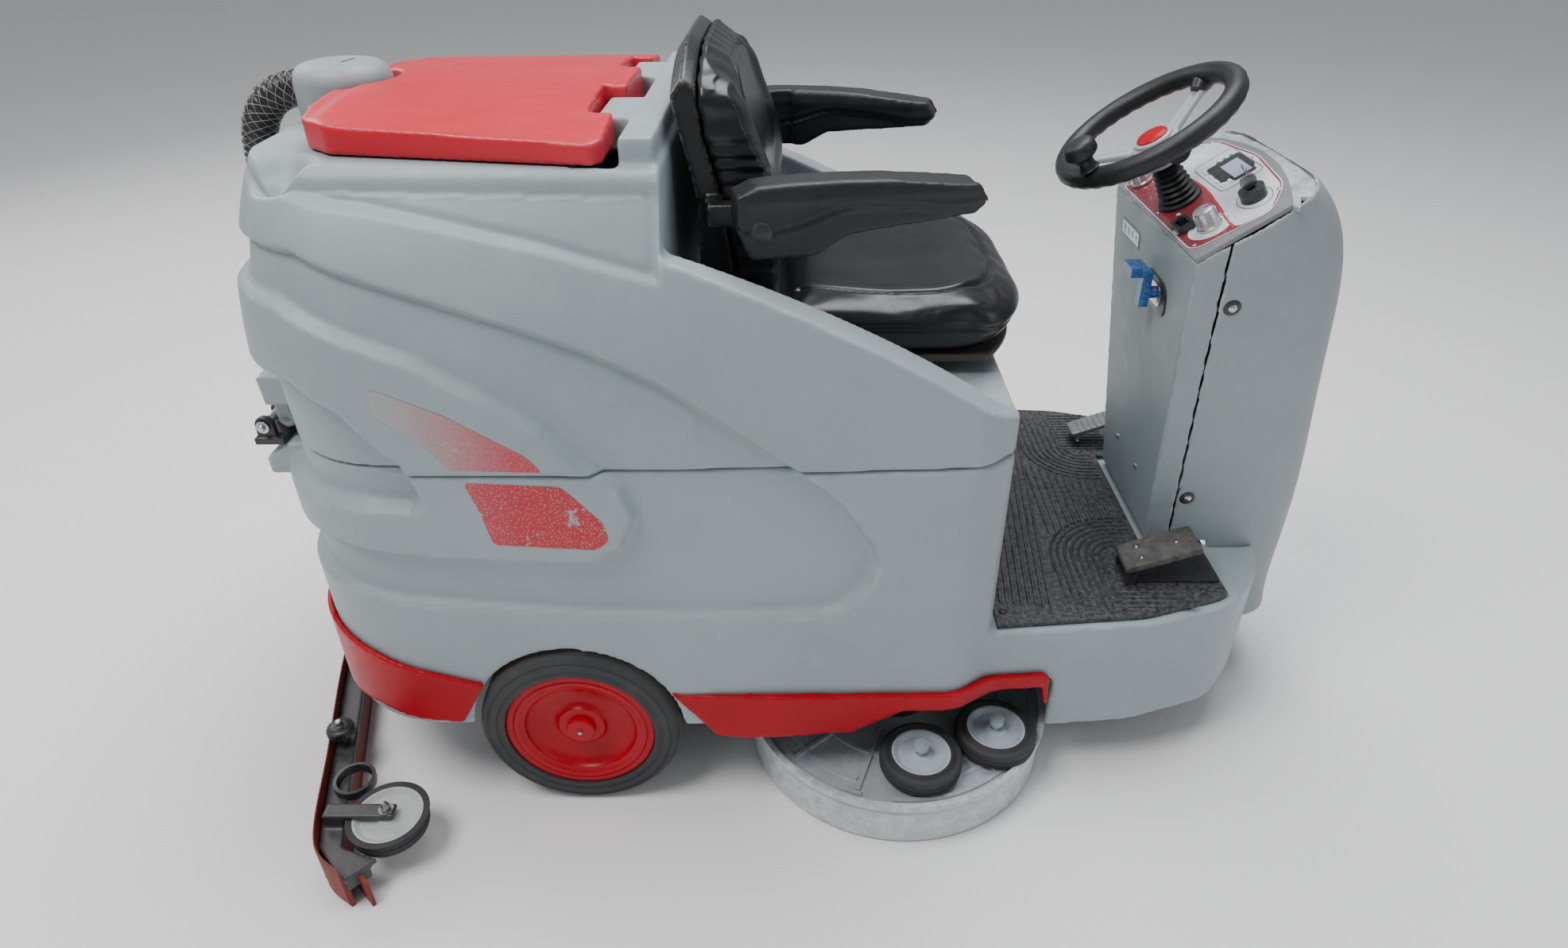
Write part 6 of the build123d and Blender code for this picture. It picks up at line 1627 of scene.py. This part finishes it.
def decal(name, outline, side, skin, look, body):
    """A thin grid laid onto the body's side within an outline."""
    bm = bmesh.new()
    bm.faces.new([bm.verts.new((x, 0, z)) for x, z in outline])
    xs, zs = [p[0] for p in outline], [p[1] for p in outline]
    for start, end, normal in ((min(xs), max(xs), (1, 0, 0)), (min(zs), max(zs), (0, 0, 1))):
        at = start + 0.004
        while at < end:
            origin = (at, 0, 0) if normal[0] else (0, 0, at)
            bmesh.ops.bisect_plane(bm, geom=bm.verts[:] + bm.edges[:] + bm.faces[:], plane_co=origin,
                plane_no=normal)
            at += 0.008
    bmesh.ops.triangulate(bm, faces=bm.faces)
    for v in bm.verts:
        hit, where, normal, _ = skin.ray_cast(Vector((v.co.x, side * 0.6, v.co.z)), Vector((0, -side, 0)))
        v.co = where + normal * 0.0005 if hit else Vector((v.co.x, side * 0.4, v.co.z))
    return piece(name, bm, look, body, sharp=0)


UPPER_DECAL = [(-0.519, 0.723), (-0.523, 0.692), (-0.462, 0.643), (-0.443, 0.612), (-0.325, 0.608),
               (-0.343, 0.632), (-0.433, 0.690), (-0.511, 0.723)]
LOWER_DECAL = [(-0.429, 0.592), (-0.306, 0.586), (-0.259, 0.531), (-0.253, 0.502), (-0.271, 0.487),
               (-0.406, 0.495), (-0.417, 0.552)]
for side, hand in SIDES:
    decal("decal_upper_" + hand, soften(UPPER_DECAL, 0.008, True), side, upper_skin, "decal_upper",
        "recovery_tank")
    decal("decal_lower_" + hand, soften(LOWER_DECAL, 0.008, True), side, lower_skin, "decal_lower",
        "chassis")

# --- Floor, light and camera --------------------------------------------------------------------

print("stage")
floor_mesh = bpy.data.meshes.new("floor")
floor_mesh.from_pydata([(-14, -14, 0), (14, -14, 0), (14, 14, 0), (-14, 14, 0)], [], [(0, 1, 2, 3)])
floor = bpy.data.objects.new("floor", floor_mesh)
SCENE.collection.objects.link(floor)
floor_look = bpy.data.materials.new("floor_pale")
floor_look.use_nodes = True
floor_shader = floor_look.node_tree.nodes["Principled BSDF"]
floor_noise = floor_look.node_tree.nodes.new("ShaderNodeTexNoise")
floor_noise.inputs["Scale"].default_value = 0.8
floor_mix = floor_look.node_tree.nodes.new("ShaderNodeMix")
floor_mix.data_type = "RGBA"
floor_mix.inputs[6].default_value = (0.92, 0.92, 0.92, 1)
floor_mix.inputs[7].default_value = (0.95, 0.95, 0.95, 1)
floor_look.node_tree.links.new(floor_noise.outputs["Fac"], floor_mix.inputs[0])
floor_look.node_tree.links.new(floor_mix.outputs[2], floor_shader.inputs["Base Color"])
floor_shader.inputs["Roughness"].default_value = 0.9
floor_shader.inputs["Specular IOR Level"].default_value = 0.1
floor_mesh.materials.append(floor_look)


def soft_light(name, place, aim, size, watts, tint=(1, 1, 1)):
    """A large soft studio light."""
    data = bpy.data.lights.new(name, "AREA")
    data.shape, data.size, data.energy, data.color = "DISK", size, watts, tint
    lamp = bpy.data.objects.new(name, data)
    SCENE.collection.objects.link(lamp)
    lamp.location = place
    lamp.rotation_euler = (Vector(aim) - Vector(place)).to_track_quat("-Z", "Y").to_euler()


soft_light("key", (-1.6, -1.2, 3.8), (0, 0, 0.5), 1.8, 95, (1.0, 0.985, 0.965))
soft_light("top", (0.5, 0.9, 4.0), (0, 0, 0.4), 2.6, 130, (0.96, 0.98, 1.0))
soft_light("fill", (3.4, -1.8, 2.0), (0.2, 0, 0.5), 2.2, 16, (0.95, 0.98, 1.0))
soft_light("rim", (-3.2, 2.2, 2.6), (0, 0, 0.6), 2.0, 40)
world = bpy.data.worlds.new("studio")
world.use_nodes = True
world.node_tree.nodes["Background"].inputs["Color"].default_value = (0.93, 0.95, 1.0, 1)
world.node_tree.nodes["Background"].inputs["Strength"].default_value = 0.34
SCENE.world = world

# The photograph's viewpoint: height and tilt of a hand-held camera on the machine's right
EYE = (-0.0089, -1.4152, 1.2487)
PITCH, YAW, ROLL = math.radians(32.377), math.radians(-0.808), math.radians(0.715)
forward = Vector((math.sin(YAW) * math.cos(PITCH), math.cos(YAW) * math.cos(PITCH), -math.sin(PITCH)))
across = Vector((math.cos(YAW), -math.sin(YAW), 0))
down = forward.cross(across)
right_turned = across * math.cos(ROLL) + down * math.sin(ROLL)
down_turned = down * math.cos(ROLL) - across * math.sin(ROLL)
camera_data = bpy.data.cameras.new("photo_view")
camera_data.lens, camera_data.sensor_width = 22.11, 36.0
camera = bpy.data.objects.new("photo_view", camera_data)
SCENE.collection.objects.link(camera)
camera.matrix_world = Matrix((
    (right_turned.x, -down_turned.x, -forward.x, EYE[0]),
    (right_turned.y, -down_turned.y, -forward.y, EYE[1]),
    (right_turned.z, -down_turned.z, -forward.z, EYE[2]),
    (0, 0, 0, 1),
))
SCENE.camera = camera
